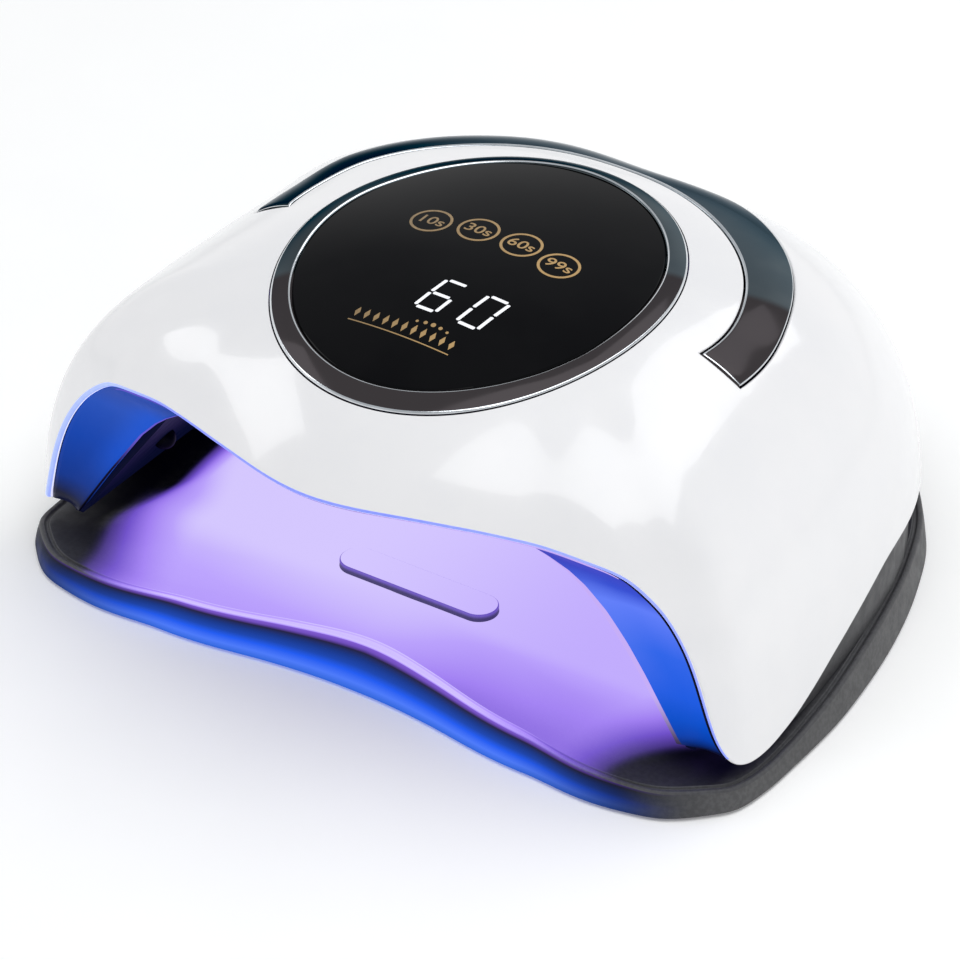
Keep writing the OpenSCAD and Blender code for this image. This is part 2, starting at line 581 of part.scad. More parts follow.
// Contact spring under one button, from the board up to the window
BUTTONS = [[-19.9, -19.2], [-6.7, -16.8], [6.7, -16.8], [19.9, -19.2]];
spring_r = 2.4;
spring_turns = 4;
module touch_spring(i) {
    b = BUTTONS[i];
    radius = norm([b[0], b[1] - centre_y]);
    low = ring_z + (b[1] - display_y) * tan(display_tilt) + board_z + 2.1;
    high = dome_z(90, radius) + glass_rise - glass_t - 0.6;
    color("#c9a24a") tube([for (s = [0 : spring_turns * 10]) [b[0] + spring_r * cos(36 * s),
        b[1] + spring_r * sin(36 * s), lerp(low, high, s / spring_turns / 10)]], 0.3, 5);
}
module touch_spring_10() { touch_spring(0); }
module touch_spring_30() { touch_spring(1); }
module touch_spring_60() { touch_spring(2); }
module touch_spring_99() { touch_spring(3); }

// ---- power inlet and leads -----------------------------------------------------------

inlet_seat = 97.4;          // flat boss that the socket's nut sits on
inlet_face = inlet_seat + 2;
module on_inlet(y) {
    translate([0, y, inlet_z]) rotate([-90, 0, 0]) children();
}
module dc_socket() {
    color("#151517") difference() {
        union() {
            on_inlet(82.5) cylinder(d = 9.6, h = 8, $fn = 40);
            on_inlet(90.5) cylinder(d = inlet_d, h = inlet_face - 90.5, $fn = 40);
        }
        on_inlet(86.5) cylinder(d = 5.6, h = far, $fn = 40);
    }
}
module dc_pin() {
    color("silver") on_inlet(86.5) cylinder(d = 2.1, h = 10, $fn = 24);
}
module dc_nut() {
    color("#b9bcc2") difference() {
        on_inlet(inlet_seat) cylinder(d = 11.4, h = 1.5, $fn = 6);
        on_inlet(92) cylinder(d = inlet_d, h = 10, $fn = 40);
    }
}
LEAD_ROUTE = [[0, 81.7, 21], [0, 80.9, 23], [0, 80.7, 26], [0, 80.5, 32], [0, 79, 42],
    [0, 75.5, 53], [0, 69.5, 63], [0, 60.5, 72], [0, 50.5, 79], [0, 40.5, 84], [0, 30.5, 87.5],
    [0, 21.5, 91.5], [0, 16, 95], [0, 12.5, 96.8], [0, 9.4, 97.2]];
module dc_leads() {
    color("#b01818") for (x = [-1.2, 1.2]) tube([for (p = LEAD_ROUTE) p + [x, 0, 0]], 0.8);
}
module led_leads() {
    color("#b01818") for (x = [-1.3, 1.3]) tube([for (z = [0 : 4])
        [x - 15 - z / 2, -20 + z, bay_top + board_gap + board_t + 3.2 * z + 0.4]], 0.7);
}

base_tray();
rubber_feet();
tray_magnets();
top_shell();
lower_housing();
front_surround();
inner_liner();
liner_screws();
housing_magnets();
display_bezel();
display_glass();
display_carrier();
carrier_screws();
control_board();
board_screws();
board_chips();
digit_display();
digit_segments();
touch_spring_10();
touch_spring_30();
touch_spring_60();
touch_spring_99();
led_board_ceiling();
led_board_left();
led_board_right();
led_board_rear();
led_board_corner_left();
led_board_corner_right();
ceiling_leds();
left_leds();
right_leds();
rear_leds();
corner_leds();
ir_sensors();
dc_socket();
dc_pin();
dc_nut();
dc_leads();
led_leads();
handle_trim();
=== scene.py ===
import json
import math

import bmesh
import bpy
import numpy as np
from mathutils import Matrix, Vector


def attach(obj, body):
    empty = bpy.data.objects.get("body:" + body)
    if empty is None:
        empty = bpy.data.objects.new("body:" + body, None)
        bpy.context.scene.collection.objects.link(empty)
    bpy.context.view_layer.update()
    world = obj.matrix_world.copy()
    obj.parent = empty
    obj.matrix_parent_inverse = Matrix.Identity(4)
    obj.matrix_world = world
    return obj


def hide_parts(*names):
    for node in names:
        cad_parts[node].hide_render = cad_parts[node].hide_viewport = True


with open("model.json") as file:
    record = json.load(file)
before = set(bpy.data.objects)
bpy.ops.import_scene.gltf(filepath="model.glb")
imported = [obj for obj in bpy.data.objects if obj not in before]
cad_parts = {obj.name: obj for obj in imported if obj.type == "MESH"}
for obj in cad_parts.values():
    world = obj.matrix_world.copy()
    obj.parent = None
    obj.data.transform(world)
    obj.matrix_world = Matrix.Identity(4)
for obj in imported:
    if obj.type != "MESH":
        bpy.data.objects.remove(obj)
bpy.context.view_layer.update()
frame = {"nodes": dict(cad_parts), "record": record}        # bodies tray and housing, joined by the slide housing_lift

# ---- the dome and its outlines ----
# Millimetres. A column is a compass angle round the axis x = 0, y = CENTRE_Y, from
# the front (0) over the right (90) to the back (180). The key tables are the part's own.

MM = 0.001
CENTRE_Y = -24.5
CROWN_Z = 103.2
BASE_Z = 10
SHELL_WALL = 2.8
VISOR_Z = 71            # lowest point of the shell's edge over the bay's middle
RECESS_DEPTH = 1.4
TRIM_FROM = 93.6        # compass angle of the trim's ends
TRIM_GAP = 0.9          # from the trim's oval to the recess's wall
BEZEL_W = 5.6
GLASS_RISE = 0.8
GLASS_T = 2.2
FLOOR_Z = 15.5
SKIRT_Z = 1

# Ovals: middle in y, half width, half length
BEZEL_OVAL = (CENTRE_Y - 1.85, 52, 58.4)
TRIM_IN_OVAL = (CENTRE_Y + 10, 65.5, 56)
TRIM_OUT_OVAL = (CENTRE_Y + 8, 75.7, 76)

# Compass angle, radius at the base, exponent across, exponent in height
DOME = [[0, 102.6, 2.13, 2.13], [23, 98.2, 2.28, 2.28], [42, 98.5, 2.55, 2.55],
        [54, 108.8, 2.55, 2.55], [60, 112.8, 2.55, 2.55], [65, 118.5, 2.55, 2.55],
        [67, 119.6, 2.55, 2.55], [71, 117.6, 2.55, 2.55], [77, 114.2, 2.55, 2.55],
        [90, 110.5, 2.55, 2.55], [105, 110.8, 2.62, 2.65], [120, 114.5, 2.86, 2.97],
        [150, 122.6, 2.86, 2.37], [180, 125.7, 3.38, 1.27]]
# Compass angle, height of the shell's lower edge
EDGE = [[0, VISOR_Z], [30, VISOR_Z - 0.4], [42, VISOR_Z - 2], [50, 66.5], [55, 63.5],
        [58, 58.5], [60.2, 52], [62, 41], [63.3, 26], [65, 16], [67.5, 11.8], [72, 10.8],
        [77, 12.5], [83, 17], [90, 22.3], [98, 27.2], [106, 30.5], [115, 31], [130, 29.5],
        [180, 28]]
# Compass angle, radius at the foot, inset of the rim, height of the rim, radius of the floor
TRAY = [[0, 61.3, 7.3, 11, 42], [22, 68, 6.4, 10.4, 49], [41, 88.6, 5.7, 9.3, 68],
        [49, 103.6, 4, 8.6, 84], [53, 110.5, 3, 8.2, 91], [57, 116.7, 2, 8, 96],
        [63, 120.8, 1.3, 7.5, 99], [66, 122, 1.2, 6.8, 99], [71, 119.8, 1.2, 6, 95],
        [78, 116, 1.2, 6.5, 90], [86, 113.3, 1.2, 8.6, 88], [98, 111.2, 1.2, 11.2, 87],
        [110, 112, 1.2, 12.2, 87], [122, 115.4, 1.2, 11.5, 88], [133, 120.3, 1.2, 11, 90],
        [157, 127.2, 1.2, 11, 94], [180, 129.5, 1.2, 11, 96]]


def folded(angle):
    """Compass angle brought into 0 to 180, because both sides are alike."""
    return np.abs((np.asarray(angle, float) + 180) % 360 - 180)


def curve(keys, column, soften):
    """A smooth function of the compass angle through one column of a key table."""
    x = np.array([k[0] for k in keys], float)
    y = np.array([k[column] for k in keys], float)
    slope = np.zeros_like(y)
    slope[1:-1] = (y[2:] - y[:-2]) / (x[2:] - x[:-2])

    def value(angle):
        a = folded(angle)
        i = np.clip(np.searchsorted(x, a, side="right") - 1, 0, len(x) - 2)
        h = x[i + 1] - x[i]
        t = (a - x[i]) / h
        s = 1 - t
        low = y[i] * (1 + 2 * t) * s * s + slope[i] * h * t * s * s
        return low + y[i + 1] * t * t * (3 - 2 * t) - slope[i + 1] * h * t * t * s

    weights = ((-2, 1), (-1, 4), (0, 6), (1, 4), (2, 1))
    return lambda angle: sum(w * value(np.asarray(angle) + soften * k) for k, w in weights) / 16


dome_full = curve(DOME, 1, 1.2)
dome_plan = curve(DOME, 2, 1.2)
dome_high = curve(DOME, 3, 1.2)
edge_z = curve(EDGE, 1, 0.5)
tray_r = curve(TRAY, 1, 0.8)
tray_inset = curve(TRAY, 2, 0.8)
tray_rim_z = curve(TRAY, 3, 0.8)
tray_floor_r = curve(TRAY, 4, 1.5)


def smooth(low, high, x):
    """Smooth step of x from 0 at low to 1 at high."""
    t = np.clip((np.asarray(x, float) - low) / (high - low), 0, 1)
    return t * t * (3 - 2 * t)


def lerp(a, b, t):
    """The value a share t of the way from a to b."""
    return a + (b - a) * t


def at(angle, r, z):
    """Place at a compass angle, radius and height."""
    a = np.radians(angle)
    return np.stack(np.broadcast_arrays(r * np.sin(a), CENTRE_Y - r * np.cos(a), z), axis=-1)


def rise_at_r(angle, r, inset=0.0):
    """The rise at which the dome has a radius."""
    share = np.clip(r / (dome_full(angle) - inset), 0, 1)
    return np.arcsin(share ** (dome_plan(angle) / 2))


def rise_at_z(angle, z, inset=0.0):
    """The rise at which the dome has a height."""
    share = np.clip((z - BASE_Z) / (CROWN_Z - inset - BASE_Z), 0, 1)
    return np.arccos(share ** (dome_high(angle) / 2))


def ring_z(angle):
    """Height of the dome along the display's ring: it rises evenly from the front to the back."""
    a = np.radians(angle)
    return 96.14 - 4.34 * np.cos(a) - 1.75 * np.cos(2 * a) - 0.62 * np.cos(3 * a)


def crown_shift(angle):
    """What the tables' own curve lacks along the display's ring."""
    rise = rise_at_r(angle, oval_r(angle, BEZEL_OVAL))
    return ring_z(angle) - BASE_Z - (CROWN_Z - BASE_Z) * np.cos(rise) ** (2 / dome_high(angle))


def dome(angle, rise, inset=0.0):
    """Point on the dome, moved inwards by inset: rise is 0 at the crown, a quarter turn at the base.

    The crown's shift fades out towards the middle and again below the display."""
    r = (dome_full(angle) - inset) * np.sin(rise) ** (2 / dome_plan(angle))
    z = BASE_Z + (CROWN_Z - inset - BASE_Z) * np.cos(rise) ** (2 / dome_high(angle))
    return at(angle, r, z + crown_shift(angle) * smooth(0, 42, r) * smooth(94, 62, r))


def dome_z(angle, r):
    """Height of the dome's skin at a radius."""
    return dome(angle, rise_at_r(angle, r))[..., 2]


def oval_r(angle, oval, grow=0.0):
    """Distance from the dome's axis to an oval (middle, half width, half length)."""
    middle, half_w, half_l = oval
    half_w, half_l, d = half_w + grow, half_l + grow, CENTRE_Y - middle
    a = np.radians(angle)
    qa = (np.sin(a) / half_w) ** 2 + (np.cos(a) / half_l) ** 2
    qb = -2 * np.cos(a) * d / half_l ** 2
    qc = (d / half_l) ** 2 - 1
    return (np.sqrt(qb * qb - 4 * qa * qc) - qb) / (2 * qa)


def glass_z(x, y):
    """Height of the window's face at a place: a smooth cap over the display's ring."""
    angle = np.degrees(np.arctan2(x, CENTRE_Y - np.asarray(y, float)))
    share = np.hypot(x, y - CENTRE_Y) / oval_r(angle, BEZEL_OVAL)
    return CROWN_Z + (ring_z(angle) - CROWN_Z) * share ** 2.2 + GLASS_RISE


def columns(*extra):
    """Compass angles all the way round, closer together at the tips beside the bay."""
    half = np.concatenate([np.arange(0, 46, 1.0), np.arange(46, 55, 0.5), np.arange(55, 74, 0.25),
                           np.arange(74, 80, 0.5), np.arange(80, 181, 1.0), *extra])
    half = np.unique(np.round(half, 3))
    return np.concatenate([half, 360 - half[-2:0:-1]])


# ---- meshes ----

def new_mesh(name, points, faces, sharp):
    """Piece from points in millimetres: faces that meet at more than sharp degrees stay sharp."""
    mesh = bpy.data.meshes.new(name)
    mesh.from_pydata([tuple(p) for p in np.asarray(points) * MM], [], faces)
    mesh.validate()
    mesh.polygons.foreach_set("use_smooth", [True] * len(mesh.polygons))
    mesh.set_sharp_from_angle(angle=math.radians(sharp))
    piece = bpy.data.objects.new(name, mesh)
    bpy.context.scene.collection.objects.link(piece)
    return piece


def outwards(piece):
    """Turns a closed mesh's faces so that they all look out."""
    work = bmesh.new()
    work.from_mesh(piece.data)
    bmesh.ops.recalc_face_normals(work, faces=work.faces)
    if work.calc_volume(signed=True) < 0:
        bmesh.ops.reverse_faces(work, faces=work.faces)
    work.to_mesh(piece.data)
    work.free()
    return piece


def loft(name, grid, wrap_rows=False, wrap_columns=True, sharp=35, kinds=None):
    """Closed solid over rows of points: rows wrap round, or end in fans; columns likewise.

    kinds gives the material index of each quad, as an array with the shape of the quads."""
    grid = np.asarray(grid, float)
    rows, cols = grid.shape[:2]
    index = np.arange(rows * cols).reshape(rows, cols)
    down = np.roll(index, -1, axis=0) if wrap_rows else index[1:]
    here = index if wrap_rows else index[:-1]
    if wrap_columns:
        quads = (here, np.roll(here, -1, axis=1), np.roll(down, -1, axis=1), down)
    else:
        quads = (here[:, :-1], here[:, 1:], down[:, 1:], down[:, :-1])
    faces = np.stack([q.reshape(-1) for q in quads], axis=-1).tolist()
    points = [grid.reshape(-1, 3)]
    loops = []
    if not wrap_rows:
        loops += [index[0], index[-1][::-1]]
    if not wrap_columns:
        loops += [index[:, 0][::-1], index[:, -1]]
    count = rows * cols
    for loop in loops:
        points.append(grid.reshape(-1, 3)[loop].mean(axis=0, keepdims=True))
        faces += [[int(b), int(a), count] for a, b in zip(loop, np.roll(loop, -1))]
        count += 1
    piece = outwards(new_mesh(name, np.concatenate(points), faces, sharp))
    if kinds is not None:
        slots = np.zeros(len(faces), dtype=np.int32)
        slots[:quads[0].size] = np.broadcast_to(kinds, quads[0].shape).ravel()
        piece.data.polygons.foreach_set("material_index", slots)
    return piece


def circle(x, y, radius, z, step):
    """Points round a level circle, one every step degrees."""
    turn = np.radians(np.arange(0, 360, step))
    return np.stack([x + radius * np.cos(turn), y + radius * np.sin(turn), 0 * turn + z], axis=-1)


def arc_steps(n):
    """Angles of a quarter round, in radians."""
    return np.linspace(0, math.pi / 2, n)


# ---- materials ----

class Nodes:
    """Short way to write a node material on an object's own coordinates, in metres."""

    def __init__(self, name, base, roughness, **constants):
        self.material = bpy.data.materials.new(name)
        self.material.use_nodes = True
        self.tree = self.material.node_tree
        self.shader = self.tree.nodes["Principled BSDF"]
        self.base = base
        self.shader.inputs["Base Color"].default_value = (*base, 1)
        self.shader.inputs["Roughness"].default_value = roughness
        for socket, value in constants.items():
            self.shader.inputs[socket.replace("_", " ")].default_value = value
        self.place = self.add("ShaderNodeTexCoord").outputs["Object"]

    def add(self, kind, **settings):
        node = self.tree.nodes.new(kind)
        for key, value in settings.items():
            setattr(node, key, value)
        return node

    def link(self, value, socket):
        if hasattr(value, "is_output"):
            self.tree.links.new(value, socket)
        else:
            socket.default_value = value

    def set(self, socket, value):
        self.link(value, self.shader.inputs[socket])

    def math(self, operation, a, b=0.0):
        node = self.add("ShaderNodeMath", operation=operation)
        self.link(a, node.inputs[0])
        self.link(b, node.inputs[1])
        return node.outputs[0]

    def plus(self, a, b):
        return self.math("ADD", a, b)

    def minus(self, a, b):
        return self.math("SUBTRACT", a, b)

    def times(self, a, b):
        return self.math("MULTIPLY", a, b)

    def between(self, value, low, high, out_low=0.0, out_high=1.0):
        """Smooth step of value from out_low at low to out_high at high."""
        node = self.add("ShaderNodeMapRange", interpolation_type="SMOOTHSTEP")
        self.link(value, node.inputs["Value"])
        for socket, number in zip(("From Min", "From Max", "To Min", "To Max"),
                                  (low, high, out_low, out_high)):
            node.inputs[socket].default_value = number
        return node.outputs["Result"]

    def mix(self, factor, a, b):
        node = self.add("ShaderNodeMix", data_type="RGBA")
        self.link(factor, node.inputs["Factor"])
        for socket, value in ((node.inputs[6], a), (node.inputs[7], b)):
            self.link(value if hasattr(value, "is_output") else (*value, 1), socket)
        return node.outputs[2]

    def axes(self):
        """X, Y and Z of the place, in millimetres."""
        scaled = self.add("ShaderNodeVectorMath", operation="SCALE")
        self.link(self.place, scaled.inputs[0])
        scaled.inputs["Scale"].default_value = 1 / MM
        split = self.add("ShaderNodeSeparateXYZ")
        self.link(scaled.outputs[0], split.inputs[0])
        return split.outputs

    def noise(self, size, detail=3.0):
        """Noise whose features are about size millimetres across."""
        node = self.add("ShaderNodeTexNoise")
        self.link(self.place, node.inputs["Vector"])
        node.inputs["Scale"].default_value = 1 / (size * MM)
        node.inputs["Detail"].default_value = detail
        return node.outputs["Fac"]

    def grain(self, size, detail, depth):
        """Fine bumps, about size millimetres across and depth millimetres deep."""
        node = self.add("ShaderNodeBump")
        node.inputs["Distance"].default_value = depth * MM
        self.link(self.noise(size, detail), node.inputs["Height"])
        self.set("Normal", node.outputs["Normal"])

    def ramp(self, value, stops):
        """Colour of a value through stops of place and colour."""
        node = self.add("ShaderNodeValToRGB")
        self.link(value, node.inputs["Fac"])
        keys = node.color_ramp.elements
        while len(keys) < len(stops):
            keys.new(1.0)
        for key, (at_value, colour) in zip(keys, stops):
            key.position = at_value
            key.color = (*colour, 1)
        return node.outputs["Color"]

    def facing_up(self):
        """The upward share of the surface's own direction."""
        split = self.add("ShaderNodeSeparateXYZ")
        self.link(self.add("ShaderNodeNewGeometry").outputs["Normal"], split.inputs[0])
        return split.outputs[2]

    def patches(self, size, strength=1.0):
        """Soft-edged patches, about size millimetres across, from 0 to strength."""
        return self.between(self.noise(size), 0.35, 0.65, 0.0, strength)

    def mottle(self, other, size):
        """Base colour that changes in patches to another near it."""
        self.set("Base Color", self.mix(self.patches(size), self.base, other))

    def worn_roughness(self, low, high, size):
        """Roughness that changes in patches between two values."""
        self.set("Roughness", self.between(self.noise(size, 4.0), 0.3, 0.7, low, high))


def shell_white():
    n = Nodes("shell_white", (0.86, 0.855, 0.865), 0.2, Coat_Weight=0.6, Coat_Roughness=0.05)
    n.mottle((0.845, 0.842, 0.855), 18)
    n.worn_roughness(0.17, 0.23, 6)
    n.grain(2.5, 2.0, 0.004)
    return n.material


def lighter(colour):
    return tuple(c * 1.25 for c in colour)


def dark_plastic(name, base, **constants):
    """Finely textured dark plastic, with its nodes returned so that light can be added."""
    n = Nodes(name, base, 0.5, **constants)
    n.mottle(lighter(base), 1.2)
    n.worn_roughness(0.44, 0.58, 5)
    n.grain(0.35, 5.0, 0.035)
    return n


def glow(n, colour, strength):
    """Light of its own, for plastic that the lamps light up."""
    n.set("Emission Color", colour)
    n.set("Emission Strength", strength)


# Stops of the light on the tray: its floor by brightness, its skirt from the rim down
NIGHT = (0.002, 0.003, 0.018)
VIOLET = (0.16, 0.08, 0.58)
LILAC = (0.35, 0.21, 0.87)
MAUVE = (0.485, 0.352, 0.965)
PALE = (0.73, 0.66, 1.0)
WASH = [(0, NIGHT), (0.25, VIOLET), (0.5, LILAC), (0.75, MAUVE), (1, PALE)]
SKIRT = [(0.0, (0.27, 0.13, 0.75)), (0.13, (0.16, 0.07, 0.5)), (0.2, (0.012, 0.01, 0.04)),
         (0.32, (0.004, 0.03, 0.22)), (0.48, (0.006, 0.055, 0.42)), (0.62, (0.010, 0.10, 0.87)),
         (0.82, (0.069, 0.19, 0.94)), (1.0, (0.02, 0.12, 0.66))]


def floor_wash(n, x, y):
    """How bright the lamps' light lies on the tray's floor: 0 is dark, 1 is palest."""
    front = n.between(y, -59, -86)
    spread = n.between(y, -55, -28, 0, 9)
    from_left = n.minus(n.plus(x, spread), n.times(front, 6))
    from_right = n.plus(x, n.times(front, 12))
    sides = n.times(n.between(from_left, -98, -64), n.between(from_right, 98, 76))
    deep = n.between(x, -30, 60, 0.93, 0.8)
    near = n.between(x, -4, 34, 0.68, 0.38)
    across = n.plus(n.times(deep, n.minus(1, front)), n.times(near, front))
    behind = n.times(n.between(y, -60, -42), n.between(n.math("ABSOLUTE", x), 76, 90))
    within = n.times(n.minus(1, behind), n.between(y, -10, 70, 1.0, 0.0))
    return n.times(n.times(sides, across), within)


def shaded_base(n, shade, dark, pale):
    """Base colour that goes from dark where the bay shades it to pale in the open."""
    n.set("Base Color", n.mix(shade, dark, n.mix(n.patches(1.2), pale, lighter(pale))))


def tray_floor():
    """Dark textured plastic, washed lilac by the lamps inside the bay."""
    n = dark_plastic("tray_plastic", (0.052, 0.052, 0.056), Specular_IOR_Level=0.22)
    x, y, _ = n.axes()
    open_air = n.math("MAXIMUM", n.between(y, -66, -88, 0.0, 0.55),
                      n.between(n.math("ABSOLUTE", x), 103, 110))
    shaded_base(n, open_air, (0.003, 0.003, 0.01), (0.06, 0.06, 0.064))
    light = n.times(floor_wash(n, x, y), n.between(n.facing_up(), 0.1, 0.8, 0.3, 1.0))
    glow(n, n.ramp(light, WASH), n.between(light, 0.0, 0.1))
    return n.material


def tray_lip():
    """The same plastic round the rim, where a strip along the front catches the light."""
    n = dark_plastic("tray_lip", (0.055, 0.055, 0.06), Specular_IOR_Level=0.35)
    x, y, _ = n.axes()
    light = n.times(n.between(x, -90, -56), n.between(x, 92, 30, 0.0, 0.86))
    light = n.times(light, n.between(y, -58, -70))
    light = n.times(light, n.between(n.facing_up(), 0.0, 0.7, 0.3, 1.0))
    glow(n, n.ramp(light, WASH), n.between(light, 0.0, 0.12))
    return n.material


def tray_skirt():
    """The same plastic down the skirt, lit blue towards the foot at the front."""
    n = dark_plastic("tray_skirt", (0.06, 0.06, 0.062), Specular_IOR_Level=0.12)
    x, y, z = n.axes()
    rim = n.minus(11, n.times(n.math("ABSOLUTE", x), 0.03))
    down = n.math("DIVIDE", n.minus(rim, z), n.minus(rim, SKIRT_Z))
    front = n.between(y, -56, -78)
    lit = n.times(n.between(x, -114, -50), n.between(x, 104, 46))
    shaded_base(n, n.minus(1, n.times(front, n.between(x, 112, 84))),
                (0.002, 0.004, 0.012), (0.085, 0.085, 0.087))
    glow(n, n.ramp(down, SKIRT), n.times(front, lit))
    return n.material


def tray_shade():
    """The finger rest's steep side, which the lamps behind it leave dark."""
    n = dark_plastic("tray_shade", (0.04, 0.04, 0.046))
    height = n.axes()["Z"]
    glow(n, n.mix(n.between(height, 16.2, 17.6), (0.012, 0.004, 0.085), (0.13, 0.07, 0.5)), 1.0)
    return n.material


def surround_material():
    """Satin cheeks, lit blue by the lamps: brightest along the mouth, dark at the foot."""
    n = Nodes("surround_plastic", (0.002, 0.003, 0.012), 0.34, Specular_IOR_Level=0.05)
    n.mottle((0.003, 0.004, 0.016), 3)
    n.worn_roughness(0.3, 0.4, 4)
    n.grain(0.5, 4.0, 0.01)
    x, _, z = n.axes()
    from_mouth = n.minus(n.math("ABSOLUTE", x), n.minus(105, n.times(z, 0.68)))
    height = n.times(z, 0.01)
    right = n.ramp(height, [(0.15, NIGHT), (0.19, (0.0, 0.05, 0.42)), (0.23, (0.0, 0.075, 0.58)),
                            (0.3, (0.008, 0.10, 0.74)), (0.41, (0.025, 0.125, 0.8)),
                            (0.53, (0.11, 0.2, 0.93)), (0.58, (0.03, 0.07, 0.62)),
                            (0.68, (0.045, 0.035, 0.36))])
    left = n.ramp(height, [(0.18, NIGHT), (0.25, (0.0, 0.03, 0.25)), (0.4, (0.002, 0.052, 0.4)),
                           (0.54, (0.013, 0.076, 0.474)), (0.66, (0.025, 0.06, 0.31))])
    inner = n.times(n.between(from_mouth, 12, 1), n.between(z, 24, 42))
    inner = n.times(inner, n.between(z, 62, 56))
    right = n.mix(n.times(inner, 0.25), right, (0.16, 0.25, 0.95))
    left = n.mix(n.times(inner, 0.6), left, (0.002, 0.09, 0.68))
    glow(n, n.mix(n.between(x, -30, 30), left, right), 1.0)
    return n.material


def mouth_line():
    """The bay's rolled mouth, which catches a thin line of violet light."""
    n = Nodes("mouth_line", (0.002, 0.002, 0.01), 0.35, Specular_IOR_Level=0.05)
    n.mottle((0.003, 0.003, 0.014), 3)
    n.worn_roughness(0.3, 0.4, 3)
    x, _, z = n.axes()
    glow(n, n.mix(n.between(x, -30, 30), (0.13, 0.09, 0.58), (0.56, 0.42, 0.92)),
         n.between(n.plus(z, n.between(x, -30, 30, -16, 4)), 18, 34))
    return n.material


def gap_dark():
    """The shaded channel between the shell and the surround."""
    n = Nodes("gap_dark", (0.001, 0.001, 0.006), 0.6, Specular_IOR_Level=0.08)
    n.mottle((0.002, 0.002, 0.01), 3)
    return n.material


def shell_edge():
    """The shell's cut edge over the bay, which glows through from behind."""
    n = Nodes("shell_edge", (0.16, 0.2, 0.5), 0.3)
    n.mottle((0.2, 0.24, 0.54), 2)
    n.grain(1.0, 2.0, 0.003)
    x = n.axes()["X"]
    left = n.mix(n.between(x, -80, -50), (0.33, 0.43, 0.98), (0.1, 0.14, 0.8))
    glow(n, n.mix(n.between(x, 20, 60), left, (0.2, 0.26, 0.9)), 0.8)
    return n.material


def shell_glint():
    """The inner round of the shell's cut edge, where the light is white."""
    n = Nodes("shell_glint", (0.7, 0.72, 0.9), 0.25)
    n.mottle((0.76, 0.77, 0.92), 2)
    glow(n, (0.78, 0.78, 1.0, 1), 0.7)
    return n.material


def liner_material():
    """The bay's reflector, nearly black except where the lamps reach it."""
    n = Nodes("liner_reflector", (0.001, 0.001, 0.004), 0.4, Specular_IOR_Level=0.02)
    n.mottle((0.002, 0.002, 0.006), 6)
    n.worn_roughness(0.36, 0.46, 5)
    n.grain(0.8, 3.0, 0.01)
    x, y, z = n.axes()
    height = n.mix(n.between(z, 12, 60), (0.02, 0.01, 0.12), (0.06, 0.025, 0.3))
    reach = n.times(n.between(y, -62, -22), n.between(x, -84, -56))
    glow(n, n.mix(reach, NIGHT, height), 1.0)
    return n.material


def smoked_chrome(name, far):
    """Dark polished metal with a painted reflection: brown-grey towards the near right, cooler beyond, far's colour at
    the back.
    """
    n = Nodes(name, (0.11, 0.125, 0.14), 0.14, Metallic=1.0, Specular_Tint=(0.3, 0.34, 0.37, 1))
    x, y, _ = n.axes()
    # Painted reflection: base colour and a faint glow change with place, dark with a brown-grey glow at the near
    # right, cooler beyond, far's colour at the back and darker towards the left.
    beyond = n.minus(y, n.times(x, 0.6))
    cool_reflection = n.mix(n.patches(30), (0.13, 0.16, 0.18), (0.17, 0.20, 0.215))
    cool_reflection = n.mix(n.between(beyond, 5, 40), cool_reflection, far)
    cool_reflection = n.mix(n.between(x, -30, -60), cool_reflection, (0.035, 0.047, 0.056))
    near = n.between(beyond, -26, -30)
    n.set("Base Color", n.mix(near, cool_reflection, (0.02, 0.018, 0.019)))
    glow(n, (0.035, 0.031, 0.033, 1), near)
    n.worn_roughness(0.09, 0.15, 12)
    n.grain(3.0, 2.0, 0.003)
    return n.material


def window_black():
    n = Nodes("window_black", (0.0025, 0.0025, 0.003), 0.05, Specular_IOR_Level=0.08)
    n.set("Base Color", n.mix(n.patches(25), (0.0022, 0.0022, 0.003), (0.0035, 0.0035, 0.0042)))
    n.worn_roughness(0.035, 0.06, 20)
    return n.material


def gold_ink():
    """Metallic print, with painted shade that makes it duller towards the left, and a faint painted glow."""
    n = Nodes("gold_ink", (0.36, 0.24, 0.11), 0.35, Metallic=0.7)
    shaded_ink = n.mix(n.between(n.axes()["X"], -30, 22), (0.24, 0.17, 0.095), (0.5, 0.32, 0.135))
    n.set("Base Color", n.mix(n.patches(1.5, 0.15), shaded_ink, (0.72, 0.5, 0.24)))
    glow(n, shaded_ink, 0.25)
    return n.material


def lit_white():
    """A lit bar of the display."""
    n = Nodes("lit_white", (0.3, 0.3, 0.32), 0.4)
    n.mottle((0.27, 0.28, 0.31), 3)
    glow(n, (0.86, 0.88, 0.9, 1), 0.85)
    return n.material


def grained(name, base, roughness, size=2.0, grain=0.4, depth=0.01, **constants):
    """Plain piece: two near colours in a fine mottle, uneven gloss and a slight grain."""
    n = Nodes(name, base, roughness, **constants)
    n.mottle(tuple(min(1, c * 1.15 + 0.01) for c in base), size)
    n.worn_roughness(roughness * 0.85, roughness * 1.15, size * 3)
    n.grain(grain, 3.0, depth)
    return n.material


def led_lens():
    """Lenses of the lamps, violet where they glow; towards the left they fade to dark as painted shade."""
    n = Nodes("led_lens", (0.001, 0.001, 0.004), 0.3, Specular_IOR_Level=0.02)
    n.mottle((0.002, 0.002, 0.006), 2)
    glow(n, (0.45, 0.30, 1.0, 1), n.between(n.axes()["X"], -76, -60, 0.0, 1.4))
    return n.material


